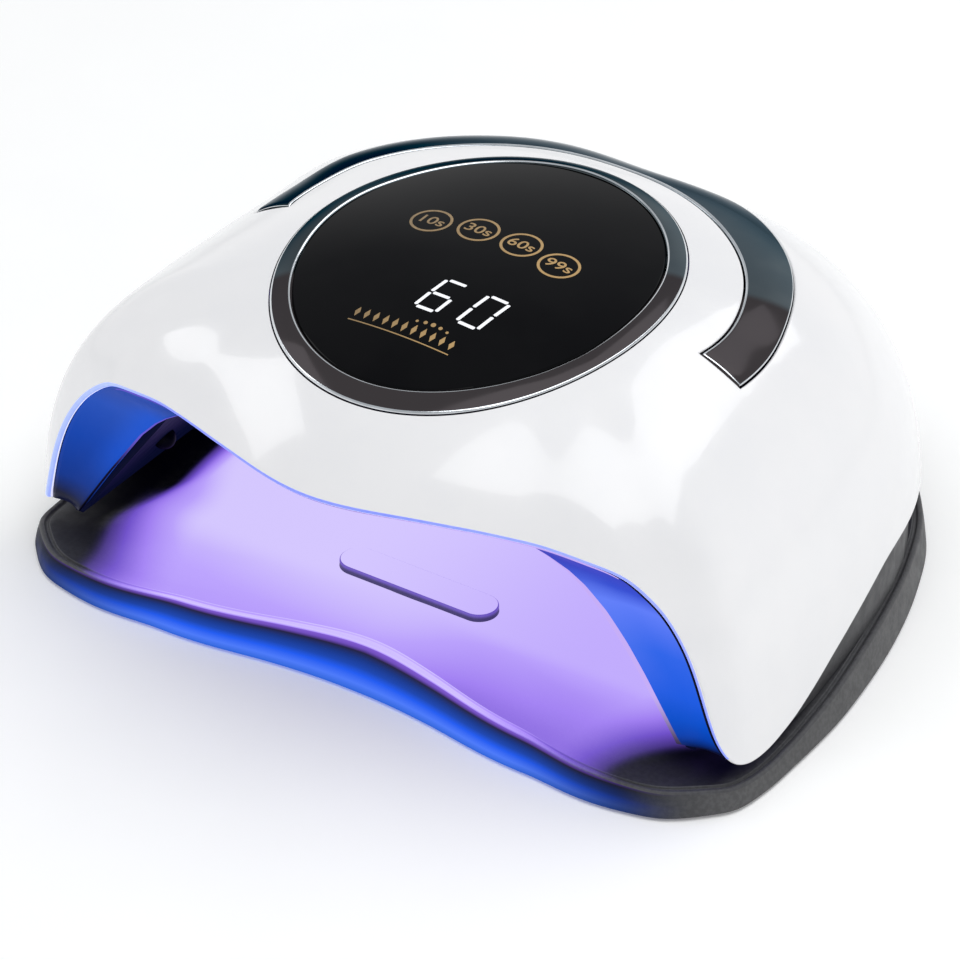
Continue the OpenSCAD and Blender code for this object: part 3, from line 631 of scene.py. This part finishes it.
MATERIALS = {
    "shell_white": shell_white(),
    "shell_edge": shell_edge(),
    "shell_glint": shell_glint(),
    "tray_plastic": tray_floor(),
    "tray_lip": tray_lip(),
    "tray_skirt": tray_skirt(),
    "tray_shade": tray_shade(),
    "mouth_line": mouth_line(),
    "gap_dark": gap_dark(),
    "housing_dark": dark_plastic("housing_dark", (0.036, 0.036, 0.039)).material,
    "surround_plastic": surround_material(),
    "liner_reflector": liner_material(),
    "smoked_chrome": smoked_chrome("smoked_chrome", (0.13, 0.15, 0.17)),
    "bezel_chrome": smoked_chrome("bezel_chrome", (0.03, 0.036, 0.04)),
    # Painted highlight: pale metal for the rounds of the trim and the bevels of the bezel
    "bright_edge": grained("bright_edge", (0.72, 0.75, 0.78), 0.16, size=6, Metallic=1.0),
    "window_black": window_black(),
    "gold_ink": gold_ink(),
    "digit_white": lit_white(),
    "led_lens": led_lens(),
    "foot_rubber": grained("foot_rubber", (0.02, 0.02, 0.02), 0.8, grain=0.3, depth=0.03),
    "magnet_nickel": grained("magnet_nickel", (0.62, 0.61, 0.58), 0.25, Metallic=1.0),
    "screw_steel": grained("screw_steel", (0.55, 0.55, 0.57), 0.3, Metallic=1.0),
    "carrier_black": grained("carrier_black", (0.02, 0.02, 0.022), 0.5),
    "board_green": grained("board_green", (0.01, 0.09, 0.035), 0.3, size=4, Coat_Weight=0.4),
    "chip_black": grained("chip_black", (0.015, 0.015, 0.016), 0.45, size=0.6),
    "spring_brass": grained("spring_brass", (0.78, 0.55, 0.22), 0.25, Metallic=1.0),
    "led_board_white": grained("led_board_white", (0.8, 0.8, 0.76), 0.35, size=5),
    "sensor_dark": grained("sensor_dark", (0.03, 0.012, 0.05), 0.15, Coat_Weight=0.5),
    "socket_black": grained("socket_black", (0.018, 0.018, 0.019), 0.4),
    "pin_steel": grained("pin_steel", (0.68, 0.67, 0.64), 0.2, Metallic=1.0),
    "lead_red": grained("lead_red", (0.45, 0.02, 0.015), 0.45),
}

# The record's slots; the other materials belong to the visual model alone
for part in frame["record"]["subparts"]:
    cad_node = frame["nodes"][part["node"]]
    for holder in cad_node.material_slots:
        holder.material = MATERIALS[part["material_slot"]]


def finish_piece(piece, slot, body, *nodes, more=()):
    """Materials, slot and body of a new piece, and the CAD nodes that it stands for."""
    for name in (slot, *more):
        piece.data.materials.append(MATERIALS[name])
    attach(piece, body)
    if nodes:
        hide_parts(*nodes)


# ---- top shell ----

RIM_GAP = 0.3                       # from the bezel's oval to the hole in the shell
RECESS_FROM = TRIM_FROM - 0.6       # compass angle of the recess's ends


def row_r(angle, part, side):
    """Radius of the trim recess's inner (-1) or outer (1) edge.

    In front of the recess it runs on at a share, part, of the way from the rim to the edge."""
    rim = oval_r(angle, BEZEL_OVAL, RIM_GAP)
    edge = dome(angle, rise_at_z(angle, edge_z(angle)))
    edge_r = np.hypot(edge[..., 0], edge[..., 1] - CENTRE_Y)
    wanted = oval_r(angle, TRIM_IN_OVAL if side < 0 else TRIM_OUT_OVAL, side * TRIM_GAP)
    return lerp(lerp(rim, edge_r, part), wanted, smooth(62, TRIM_FROM - 1, folded(angle)))


# The recess's wall: distance in from its outline, and depth there
STEP_AT = [-0.5, -0.25, -0.1, 0.0, 0.08, 0.16, 0.26, 0.4, 0.6]
STEP_DEPTH = [0, 0.02, 0.07, 0.18, 0.5, 0.95, 1.25, 1.37, RECESS_DEPTH]
DARK_STEP = 4       # the step at which the wall's painted shade begins


def recess(angle, r, r_in, r_out):
    """Depth of the recess at a point: its wall has a small round at the top and the foot."""
    end = (folded(angle) - RECESS_FROM) * np.radians(1) * r
    inside = np.minimum(np.minimum(r - r_in, r_out - r), end)
    return np.interp(inside, STEP_AT, STEP_DEPTH)


def edge_frame(angle):
    """On the shell's lower edge: the point, the way up along the skin, and the way out."""
    def point(a):
        return dome(a, rise_at_z(a, edge_z(a)))
    here = point(angle)
    along = point(angle + 0.05) - point(angle - 0.05)
    above = dome(angle, rise_at_z(angle, edge_z(angle) + 0.5)) - here
    out = np.cross(along, above)
    out /= np.linalg.norm(out, axis=-1, keepdims=True)
    up = np.cross(out, along)
    up /= np.linalg.norm(up, axis=-1, keepdims=True)
    return here, up * np.sign((up * above).sum(-1, keepdims=True)), out


def build_top_shell():
    """Closed skin: out over the crown and the recess, round the lower edge, and back up inside."""
    recess_r = 72       # about how far out the recess's ends are
    angle = columns(RECESS_FROM + np.degrees(np.array(STEP_AT) / recess_r))
    r_in, r_out = row_r(angle, 0.3, -1), row_r(angle, 0.62, 1)
    rim = oval_r(angle, BEZEL_OVAL, RIM_GAP)
    steps = np.linspace(0, 1, 9)
    radii = [lerp(rim, r_in + STEP_AT[0], t) for t in steps[:-1]]
    dark_from = len(radii) + DARK_STEP
    radii += [r_in + s for s in STEP_AT]
    radii += [lerp(r_in + STEP_AT[-1], r_out - STEP_AT[-1], t) for t in steps[1:-1]]
    radii += [r_out - s for s in STEP_AT[::-1]]
    dark_to = len(radii) - 1 - DARK_STEP
    outer = [dome(angle, rise_at_r(angle, r), recess(angle, r, r_in, r_out)) for r in radii]

    # The lower edge is thinner and rounder over the bay
    start = rise_at_r(angle, radii[-1])
    lean = (edge_z(angle + 0.5) - edge_z(angle - 0.5)) / (np.radians(1) * dome_full(angle))
    over = smooth(72, 62, folded(angle))
    small = 0.5
    fillet = lerp(small, 1.0, over)[:, None]
    wall = lerp(SHELL_WALL, 1.7, over)[:, None]
    lift = (fillet[:, 0] + 0.3) * np.sqrt(1 + lean ** 2)
    end = rise_at_z(angle, edge_z(angle) + lift)
    outer += [dome(angle, lerp(start, end, t)) for t in np.linspace(0, 1, 30)[1:]]

    here, up, out = edge_frame(angle)
    outer_round = [here + up * fillet * (1 - math.sin(s)) - out * fillet * (1 - math.cos(s))
                   for s in arc_steps(7)]
    flat = [here - out * lerp(fillet, wall - small, t) for t in (0.35, 0.7)]
    inner_round = [here + up * small * (1 - math.cos(s)) - out * (wall - small * (1 - math.sin(s)))
                   for s in arc_steps(5)]

    inner_end = rise_at_z(angle, edge_z(angle) + lift, SHELL_WALL)
    inner_top = rise_at_r(angle, rim, SHELL_WALL)
    inner = [dome(angle, lerp(inner_end, inner_top, t), SHELL_WALL) for t in np.linspace(0, 1, 14)]
    rows = outer + outer_round + flat + inner_round + inner

    # Painted light on the cut edge over the bay: a blue glow, a white painted highlight on its inner round and, on the
    # right and at the visor, on its flat too; painted shade in the gap inside it and on the recess's floor under the
    # trim
    edge, glint, gap = 1, 2, 3
    over_bay = folded(angle + 0.5) < 66
    to_flat = len(outer + outer_round)
    to_inner_round = to_flat + len(flat)
    to_inner = to_inner_round + len(inner_round)
    kinds = np.zeros((len(rows), len(angle)), dtype=int)
    kinds[len(outer) + 1:to_inner_round - 1, over_bay] = edge
    kinds[to_inner_round - 1:to_inner - 1, over_bay] = glint
    kinds[to_flat - 2:to_inner_round - 1, over_bay & ((angle < 180) | (angle > 308))] = glint
    kinds[to_inner - 1:to_inner + 1, over_bay] = gap
    kinds[dark_from:dark_to, folded(angle + 0.5) > TRIM_FROM] = gap
    return loft("top_shell_skin", np.stack(rows), wrap_rows=True, kinds=kinds)


finish_piece(build_top_shell(), "shell_white", "housing", "top_shell",
             more=("shell_edge", "shell_glint", "gap_dark"))


# ---- handle trim, bezel and window ----

TRIM_GROW = 0.35        # the trim's edges stand this far outside its ovals
TRIM_CROWN = 0.25       # half the rise of the trim's rounds, and its crown above them
TRIM_ROUND = 0.035      # width of each round, as a share of the trim's width


def build_handle_trim():
    """Crowned band with rounded edges, lying in the shell's recess round the back."""
    end_steps = TRIM_FROM + np.array([0, 0.1, 0.25, 0.5])
    half = np.unique(np.concatenate([end_steps, np.arange(95, 181, 1.0)]))
    angle = np.concatenate([half, 360 - half[-2::-1]])
    r_in, r_out = oval_r(angle, TRIM_IN_OVAL, -TRIM_GROW), oval_r(angle, TRIM_OUT_OVAL, TRIM_GROW)
    end_r = 70          # about how far out the trim's ends are
    end_drop = 0.35 * (1 - smooth(0, 1.1, (folded(angle) - TRIM_FROM) * np.radians(1) * end_r))

    def row(across, lift):
        return dome(angle, rise_at_r(angle, lerp(r_in, r_out, across)), end_drop - lift)

    edge = [(TRIM_ROUND * (1 - math.cos(s)), TRIM_CROWN * (2 * math.sin(s) - 1)) for s in arc_steps(6)]
    top = [(t, TRIM_CROWN * (1 + math.sin(math.pi * (t - TRIM_ROUND) / (1 - 2 * TRIM_ROUND))))
           for t in np.linspace(0.08, 0.92, 13)]
    side = -0.9         # a row part of the way down the upright sides
    foot = -(RECESS_DEPTH - 0.15)
    profile = [(0.0, side)] + edge + top + [(1 - across, lift) for across, lift in edge[::-1]]
    profile += [(1.0, side), (1.0, foot), (0.5, foot), (0.0, foot)]
    grid = np.stack([row(*place) for place in profile], axis=1)

    # Painted highlight: both rounds are bright above their first step, and so is the whole band at its ends
    bright = 1
    near_from, near_to = 2, len(edge)
    far_from = 1 + len(edge + top)
    far_to = far_from + len(edge) - 2
    kinds = np.zeros((len(angle) - 1, len(profile)), dtype=int)
    kinds[:, near_from:near_to] = bright
    kinds[:, far_from:far_to] = bright
    kinds[[0, 1, -2, -1], near_from:far_to] = bright
    return loft("handle_trim_band", grid, wrap_rows=False, kinds=kinds)


finish_piece(build_handle_trim(), "smoked_chrome", "housing", "handle_trim", more=("bright_edge",))


def build_bezel():
    """Oval ring with a bevelled outer edge, a flat land and a bevelled inner edge."""
    angle = np.arange(0, 360, 1.0)
    # Painted highlight on both bevels, painted shade down the outer side, and the darker chrome with its painted
    # reflection on the land and inside
    bright, gap, chrome = 1, 2, 3
    shelf = BEZEL_W + 2.2       # the shelf under the window reaches this far in
    bands = [(gap, [(0, -1.0), (0, -0.1)]),
             (bright, [(0.05, 0.12), (0.2, 0.3)]),
             (chrome, [(0.5, 0.46), (0.9, 0.56), (1.6, 0.72), (2.6, 0.88), (3.6, 0.97), (4.5, 1.0)]),
             (bright, [(4.85, 0.97), (5.1, 0.86)]),
             (chrome, [(5.25, 0.66), (5.45, 0.55), (BEZEL_W, 0.35), (BEZEL_W, -1.6),
                       (shelf, -1.6), (shelf, -3.6), (0, -3.6)])]
    rows = []
    kinds = []
    for kind, profile in bands:
        for into, height in profile:
            level = dome_z(angle, oval_r(angle, BEZEL_OVAL, -min(into, BEZEL_W)))
            rows.append(at(angle, oval_r(angle, BEZEL_OVAL, -into), level + height))
            kinds.append(kind)
    return loft("display_bezel_ring", np.stack(rows), wrap_rows=True, sharp=50,
                kinds=np.array(kinds)[:, None])


finish_piece(build_bezel(), "smoked_chrome", "housing", "display_bezel",
             more=("bright_edge", "gap_dark", "bezel_chrome"))


def build_window():
    """Dark cap inside the bezel, with a small round along its edge."""
    angle = np.arange(0, 360, 1.0)
    full = oval_r(angle, BEZEL_OVAL, -(BEZEL_W + 0.15))

    def row(t, sink):
        """Oval at a share t of the window's size, sunk below its face."""
        flat = at(angle, full * t, -sink)
        flat[:, 2] += glass_z(flat[:, 0], flat[:, 1])
        return flat

    under = [row(t, GLASS_T) for t in np.linspace(0.02, 1, 12)]
    rim = [row(1, 0.55)]
    rim += [row(1 - 0.009 * math.sin(s), 0.5 * (1 - math.sin(s))) for s in arc_steps(5)[1:]]
    face = [row(t, 0) for t in np.linspace(0.98, 0.02, 26)]
    return loft("display_window", np.stack(under + rim + face))


finish_piece(build_window(), "window_black", "housing", "display_glass")


# ---- print on the window: button rings, seconds, digits and an ornament ----

INK = 0.05      # the print stands this far above the glass and reaches as far into it


def on_window(points):
    """Flat points (x, y, height) laid on the window's face."""
    p = np.asarray(points, float)
    return np.stack([p[..., 0], p[..., 1], glass_z(p[..., 0], p[..., 1]) + p[..., 2]], axis=-1)


def build_ring(name, x, y, radius, width):
    """Printed ring round a middle."""
    inner, outer = radius - width / 2, radius + width / 2
    section = ((inner, -INK), (inner, INK), (outer, INK), (outer, -INK))
    rows = [on_window(circle(x, y, r, h, 5)) for r, h in section]
    return loft(name, np.stack(rows), wrap_rows=True)


def flat_figure(name, outline):
    """Thin closed plate over a convex outline on the window."""
    outline = np.asarray(outline, float)
    rows = [on_window(np.column_stack([outline, np.full(len(outline), h)])) for h in (-INK, INK)]
    return loft(name, np.stack(rows))


RING_R = 5.35
RING_W = 0.75
FIGURE_SIZE = 5.3
FIGURE_WIDEN = 1.12
BUTTONS = {"10s": (-19.9, -19.2), "30s": (-6.7, -16.8), "60s": (6.7, -16.8), "99s": (19.9, -19.2)}


def build_seconds(name, words, x, y):
    """Numbers of a timer in a plain face, pressed onto the window."""
    text = bpy.data.curves.new(name, "FONT")
    text.body = words
    text.size = FIGURE_SIZE
    text.extrude = INK
    text.offset = 0.04
    text.align_x = "CENTER"
    text.align_y = "CENTER"
    holder = bpy.data.objects.new(name + "_curve", text)
    bpy.context.scene.collection.objects.link(holder)
    bpy.context.view_layer.update()
    evaluated = holder.evaluated_get(bpy.context.evaluated_depsgraph_get())
    mesh = bpy.data.meshes.new_from_object(evaluated)
    bpy.data.objects.remove(holder)
    points = np.array([v.co for v in mesh.vertices]) * [FIGURE_WIDEN, 1, 1]
    mesh.vertices.foreach_set("co", (on_window(points + [x, y, 0]) * MM).ravel())
    piece = bpy.data.objects.new(name, mesh)
    bpy.context.scene.collection.objects.link(piece)
    return piece


for seconds, (bx, by) in BUTTONS.items():
    finish_piece(build_ring("ring_" + seconds, bx, by, RING_R, RING_W), "gold_ink", "housing")
    finish_piece(build_seconds("figures_" + seconds, seconds, bx, by), "gold_ink", "housing")


DIGIT_Y = -46.8     # the middle bars
BAR_LONG = 6.4      # from bar to bar along x
BAR_TALL = 6.15     # from bar to bar along y
END_GAP_X = 1.4     # what a lying bar is short of BAR_LONG
END_GAP_Y = 0.6     # what an upright bar is short of BAR_TALL
STROKE = 0.98
SLANT = 0.16

# Left edge and lit bars: bottom, middle, top, then left low and high, right low and high
LIT = {"six": (-1.0, (1, 1, 1, 1, 1, 1, 0)), "nought": (11.9, (1, 0, 1, 1, 1, 1, 1))}


def build_bar(name, x, y, along_x):
    """One lit bar of a figure: a blunt stroke, leaning with the figure."""
    length = BAR_LONG - END_GAP_X if along_x else BAR_TALL - END_GAP_Y
    half = STROKE / 2
    cut = STROKE / 5
    shape = np.array([(0, 0), (cut, half), (length - cut, half), (length, 0),
                      (length - cut, -half), (cut, -half)])
    if not along_x:
        shape = shape[:, ::-1] * [-1, 1]
    shape = shape + [x, y]
    shape[:, 0] += SLANT * (shape[:, 1] - DIGIT_Y)
    return flat_figure(name, shape)


def build_digits():
    """The lit bars of both figures."""
    low = DIGIT_Y - BAR_TALL
    bars = []
    for figure, (left, lit) in LIT.items():
        places = [(left + END_GAP_X / 2, low + row * BAR_TALL, True) for row in range(3)]
        places += [(left + side * BAR_LONG, low + row * BAR_TALL + END_GAP_Y / 2, False)
                   for side in (0, 1) for row in (0, 1)]
        bars += [build_bar(f"digit_{figure}_{k}", *place) for k, place in enumerate(places) if lit[k]]
    return bars


for k, bar in enumerate(build_digits()):
    finish_piece(bar, "digit_white", "housing", *(["digit_segments"] if k == 0 else []))


ORNAMENT = (0.2, -60.6)


def build_ornament():
    """A plain printed frieze: a row of slim lozenges over a line, with five dots above."""
    x, y = ORNAMENT
    plates = []
    for k in range(-5, 6):
        across, up = 0.75, 1.9 - 0.05 * abs(k)
        lozenge = [(x + 2.9 * k + u, y + v) for u, v in ((-across, 0), (0, up), (across, 0), (0, -up))]
        plates.append(flat_figure(f"ornament_lozenge_{k + 6}", lozenge))

    run = np.linspace(-15.5, 15.5, 32)
    line_y, half = y - 3.0, 0.16
    rows = [on_window(np.column_stack([x + run, 0 * run + line_y + v, 0 * run + h]))
            for v, h in ((-half, -INK), (-half, INK), (half, INK), (half, -INK))]
    plates.append(loft("ornament_line", np.stack(rows, axis=1)))

    for k in range(-2, 3):
        dot = circle(x + 6.5 + 2.3 * k, y + 3.6 - 0.15 * k * k, 0.7 - 0.14 * abs(k), 0, 20)
        plates.append(flat_figure(f"ornament_dot_{k + 3}", dot[:, :2]))
    return plates


for plate in build_ornament():
    finish_piece(plate, "gold_ink", "housing")


# ---- base tray ----

def tray_loop(angle, into, z):
    """Round the rim: into = distance in from the rim's outline, z above the rim."""
    return at(angle, tray_r(angle) - tray_inset(angle) - into, tray_rim_z(angle) + z)


def floor_loop(angle, out, drop, z=0.0):
    """Round the floor's edge: out = distance out from it, drop = share of the way down to the rim."""
    return at(angle, tray_floor_r(angle) + out, lerp(FLOOR_Z, tray_rim_z(angle), drop) + z)


def build_tray():
    """Closed moulding: out over the floor and the rim's groove, down the skirt, and back underneath."""
    angle = columns()
    wall = 2.4
    fillet = 0.9
    level, lip, skirt = 0, 1, 2
    slope_in = -lerp(8, 15, smooth(18, 50, folded(angle)))
    slope_out = 7.5
    slope_drop = 0.97
    rows = [floor_loop(angle, slope_in, 0) * [s, s, 1] + [0, CENTRE_Y * (1 - s), 0]
            for s in np.linspace(0.03, 0.9, 10)]
    rows += [floor_loop(angle, lerp(slope_in, slope_out, t), smooth(0, 1, t) * slope_drop)
             for t in np.linspace(0, 1, 26)]
    rows += [lerp(floor_loop(angle, slope_out, slope_drop), tray_loop(angle, 3.3, 0), t)
             for t in (0.3, 0.65, 0.9)]
    kinds = [level] * len(rows)

    groove = [(3.1, 0), (2.95, -0.04), (2.8, -0.2), (2.7, -0.5), (2.5, -0.66), (2.2, -0.7),
              (1.9, -0.66), (1.7, -0.5), (1.6, -0.2), (1.45, -0.04), (1.3, 0)]
    rows += [tray_loop(angle, *place) for place in groove]
    rows += [tray_loop(angle, fillet * (1 - math.sin(s)), -fillet * (1 - math.cos(s)))
             for s in arc_steps(7)]
    kinds += [lip] * (len(rows) - len(kinds) - 2)       # the round's lowest steps go with the skirt

    foot_r = tray_r(angle)
    top_z = tray_rim_z(angle) - fillet
    for t in np.linspace(0, 1, 12)[1:]:
        swell = 0.1 * tray_inset(angle) * math.sin(math.pi * t)
        r = lerp(foot_r - tray_inset(angle), foot_r, t) + swell
        rows.append(at(angle, r, lerp(top_z, SKIRT_Z, t)))
    kinds += [skirt] * (len(rows) - len(kinds))

    rows += [at(angle, foot_r - wall, SKIRT_Z), tray_loop(angle, wall, -4.5),
             tray_loop(angle, 3, -wall), floor_loop(angle, 5, 1, -wall),
             floor_loop(angle, slope_in + 4, 0.05, -wall), floor_loop(angle, slope_in, 0, -wall)]
    kinds += [level] * (len(rows) - 1 - len(kinds))
    return loft("tray_moulding", np.stack(rows), kinds=np.array(kinds)[:, None])


finish_piece(build_tray(), "tray_plastic", "tray", "base_tray", more=("tray_lip", "tray_skirt"))


# The magnets' places on the right, and their size
MAGNET_AT = [(100.1, -9.5), (30, 86.5)]
MAGNET_R = 2.0
MAGNET_H = 2.0
SEAT_Z = 13.3       # top of the posts that hold the tray's magnets


def build_magnet_post(name, x, y):
    """Round post on the tray with a pocket for its magnet."""
    pocket_r = MAGNET_R + 0.05
    profile = [(MAGNET_R + 0.7, 6), (MAGNET_R + 0.6, SEAT_Z - 0.3), (MAGNET_R + 0.3, SEAT_Z),
               (pocket_r, SEAT_Z), (pocket_r, SEAT_Z - MAGNET_H - 0.02)]
    return loft(name, np.stack([circle(x, y, r, z, 10) for r, z in profile]))


for k, (mx, my) in enumerate(MAGNET_AT):
    for side, word in ((1, "right"), (-1, "left")):
        post = build_magnet_post(f"magnet_post_{word}_{k + 1}", side * mx, my)
        finish_piece(post, "tray_plastic", "tray")


REST_Y = -54.5
REST_LEN = 48.5
REST_W = 10.5
REST_RISE = 2.15        # top of the pad's shoulder above the floor


def build_finger_rest():
    """Pill-shaped pad on the tray's floor: a rounded shoulder, then a shallow dished top."""
    turn = np.radians(np.arange(0, 360, 4))
    straight = (REST_LEN - REST_W) / 2

    def outline(r, z):
        x = r * np.cos(turn) + straight * np.sign(np.round(np.cos(turn), 6))
        return np.stack([x, REST_Y + r * np.sin(turn), 0 * turn + FLOOR_Z + z], axis=-1)

    half = REST_W / 2
    shoulder = 0.45
    dish = [(0.9, 0.0), (1.3, 0.02), (1.6, 0.08), (2.0, 0.13), (2.6, 0.16), (4.0, 0.19), (5.0, 0.2)]
    level, shade = 0, 1
    rows = [outline(half + 0.2, -1.6), outline(half + 0.1, -0.3), outline(half, 0.5), outline(half, 1.1)]
    rows += [outline(half - shoulder * (1 - math.cos(s)), REST_RISE - shoulder * (1 - math.sin(s)))
             for s in arc_steps(5)]
    kinds = [shade] * (len(rows) - 2)
    rows += [outline(half - into, REST_RISE - sink) for into, sink in dish]
    kinds += [level] * (len(rows) - 1 - len(kinds))
    return loft("finger_rest_pad", np.stack(rows), kinds=np.array(kinds)[:, None])


finish_piece(build_finger_rest(), "tray_plastic", "tray", more=("tray_shade",))


# ---- front surround ----

SURROUND_TO = 67.5      # compass angle of the cheeks' feet
PIVOT_Z = 12            # edge and mouth are paired by their direction from here on the middle plane
MOUTH_R = 0.6           # round of the mouth's edge
CHEEK_T = 1.6           # thickness of the cheeks

# The bay's mouth on the right: height, half width, place in y
MOUTH = np.array([(10, 98.2, -77), (17, 94.0, -77), (24, 89.4, -77), (33, 83.4, -77),
                  (41, 77.7, -77.2), (49, 71.9, -78), (55, 66.3, -78.8), (58.5, 62.2, -79.5),
                  (62, 57.5, -81), (65.5, 51, -82.5), (68, 42, -82.5), (69.2, 30, -81), (69.5, 0, -79)])
VISOR_MOUTH_Z = 67.8    # the mouth stays below this under the visor


def build_surround():
    """Cheeks and visor strip from the shell's edge in to the bay's mouth, rolled over at the mouth."""
    right = np.unique(np.concatenate([np.arange(0, 50, 1.0), np.arange(50, SURROUND_TO + 0.01, 0.25)]))
    angle = np.concatenate([-right[:0:-1], right])
    visor = smooth(60, 50, folded(angle))

    # Outer rows, just inside the shell's edge
    here, up, out = edge_frame(angle)
    outer = here - out * 2.0
    start = outer + up * 1.0

    # The mouth's point for each column, kept low at the visor and drawn in at the cheeks' feet
    tilt = np.arctan2(here[:, 2] + 0.5 - PIVOT_Z, np.abs(here[:, 0]))
    mouth_tilt = np.arctan2(MOUTH[:, 0] - PIVOT_Z, MOUTH[:, 1])
    z, x, y = (np.interp(tilt, mouth_tilt, MOUTH[:, k]) for k in range(3))
    z = np.minimum(z, lerp(z, VISOR_MOUTH_Z, visor))
    foot = smooth(19, 12, z)
    inner = np.stack([np.sign(angle) * (x - 2.6 * foot), y, z + 4.4 * foot], axis=-1)

    back = np.stack([0 * tilt, CHEEK_T * np.cos(tilt) + 0.8, CHEEK_T * np.sin(tilt)], axis=-1)
    span = np.linalg.norm(inner - outer, axis=1, keepdims=True)
    towards = (inner - outer) / span
    dish = np.array([0.0, 1.0, 0.0]) * np.minimum(1.2, 0.06 * span)
    first = outer + towards * (0.9 - 0.4 * visor[:, None])
    bead = first - up * 0.4 * visor[:, None]
    last = inner - towards * MOUTH_R
    rows = [start, lerp(start, outer, 0.5), outer, first, bead]
    to_bead = len(rows) - 1
    rows += [lerp(bead, last, t) + dish * math.sin(math.pi * t) for t in np.linspace(0, 1, 14)[1:]]
    to_mouth = len(rows) - 1
    rows += [last + towards * MOUTH_R * math.sin(s) + back * 0.4 * (1 - math.cos(s))
             for s in arc_steps(5)[1:]]
    past_mouth = len(rows) - 1
    rows += [lerp(inner, start, t) + back * lerp(1, 0.8, t) + dish * math.sin(math.pi * t)
             for t in np.linspace(0, 1, 8)]

    # Painted light and shade: a thin violet line round the mouth and along the visor's bead, and a dark strip of
    # painted shade along the shell's edge, except on the left cheek
    line, gap = 1, 2
    kinds = np.zeros((len(angle) - 1, len(rows)), dtype=int)
    kinds[angle[1:] > -52, 0:to_bead - 1] = gap
    kinds[visor[1:] > 0.5, to_bead - 1] = line
    kinds[:, to_mouth:past_mouth] = line
    kinds[angle[1:] > 0, to_mouth - 1] = line
    return loft("surround_cheeks", np.stack(rows, axis=1), wrap_rows=False, kinds=kinds)


finish_piece(build_surround(), "surround_plastic", "housing", "front_surround",
             more=("mouth_line", "gap_dark"))


# ---- camera, light and floor ----

def look(obj, target):
    """Turns a camera or lamp towards a place."""
    direction = Vector(target) - obj.location
    obj.rotation_mode = "QUATERNION"
    obj.rotation_quaternion = direction.to_track_quat("-Z", "Y")


def add_camera():
    """Long lens from the front right, looking down at the dome's front."""
    azimuth, elevation, distance = math.radians(34.18), math.radians(33.44), 1.841
    target = Vector((0.0012, -0.0278, 0.0351))
    back = Vector((math.sin(azimuth) * math.cos(elevation), -math.cos(azimuth) * math.cos(elevation),
                   math.sin(elevation)))
    data = bpy.data.cameras.new("camera")
    data.lens = 262.5
    data.sensor_width = 36
    camera = bpy.data.objects.new("camera", data)
    camera.location = target + back * distance
    look(camera, target)
    bpy.context.scene.collection.objects.link(camera)
    bpy.context.scene.camera = camera


def softbox(name, place, target, size, power):
    """White rectangular lamp: size is its width and height in metres, power in watts."""
    data = bpy.data.lights.new(name, "AREA")
    data.shape = "RECTANGLE"
    data.size, data.size_y = size
    data.energy = power
    lamp = bpy.data.objects.new(name, data)
    lamp.location = place
    look(lamp, target)
    bpy.context.scene.collection.objects.link(lamp)


def add_light():
    """Pale studio: white low down, greyer and cooler overhead, with two softboxes."""
    world = bpy.data.worlds.new("studio")
    world.use_nodes = True
    tree = world.node_tree
    place = tree.nodes.new("ShaderNodeTexCoord")
    split = tree.nodes.new("ShaderNodeSeparateXYZ")
    ramp = tree.nodes.new("ShaderNodeValToRGB")
    tree.links.new(place.outputs["Generated"], split.inputs[0])
    tree.links.new(split.outputs[2], ramp.inputs["Fac"])
    tree.links.new(ramp.outputs["Color"], tree.nodes["Background"].inputs["Color"])
    low, high = ramp.color_ramp.elements
    low.position, low.color = 0.12, (0.96, 0.955, 0.955, 1)
    high.position, high.color = 0.55, (0.46, 0.475, 0.49, 1)
    bpy.context.scene.world = world
    softbox("overhead", (0.33, 0.22, 1.0), (0.33, 0.22, 0), (0.6, 1.95), 7.5)
    softbox("left", (-0.92, -0.34, 0.72), (-0.02, -0.09, 0.08), (0.5, 0.42), 1.4)


def add_floor():
    """Plain pale paper."""
    bpy.ops.mesh.primitive_plane_add(size=8, location=(0, 0, 0))
    floor = bpy.context.object
    floor.name = "floor"
    n = Nodes("floor_paper", (0.93, 0.93, 0.925), 0.7)
    n.mottle((0.92, 0.92, 0.915), 40)
    glow(n, (1, 1, 1, 1), 0.15)
    floor.data.materials.append(n.material)


add_camera()
add_light()
add_floor()
bpy.context.scene.view_settings.view_transform = "Standard"
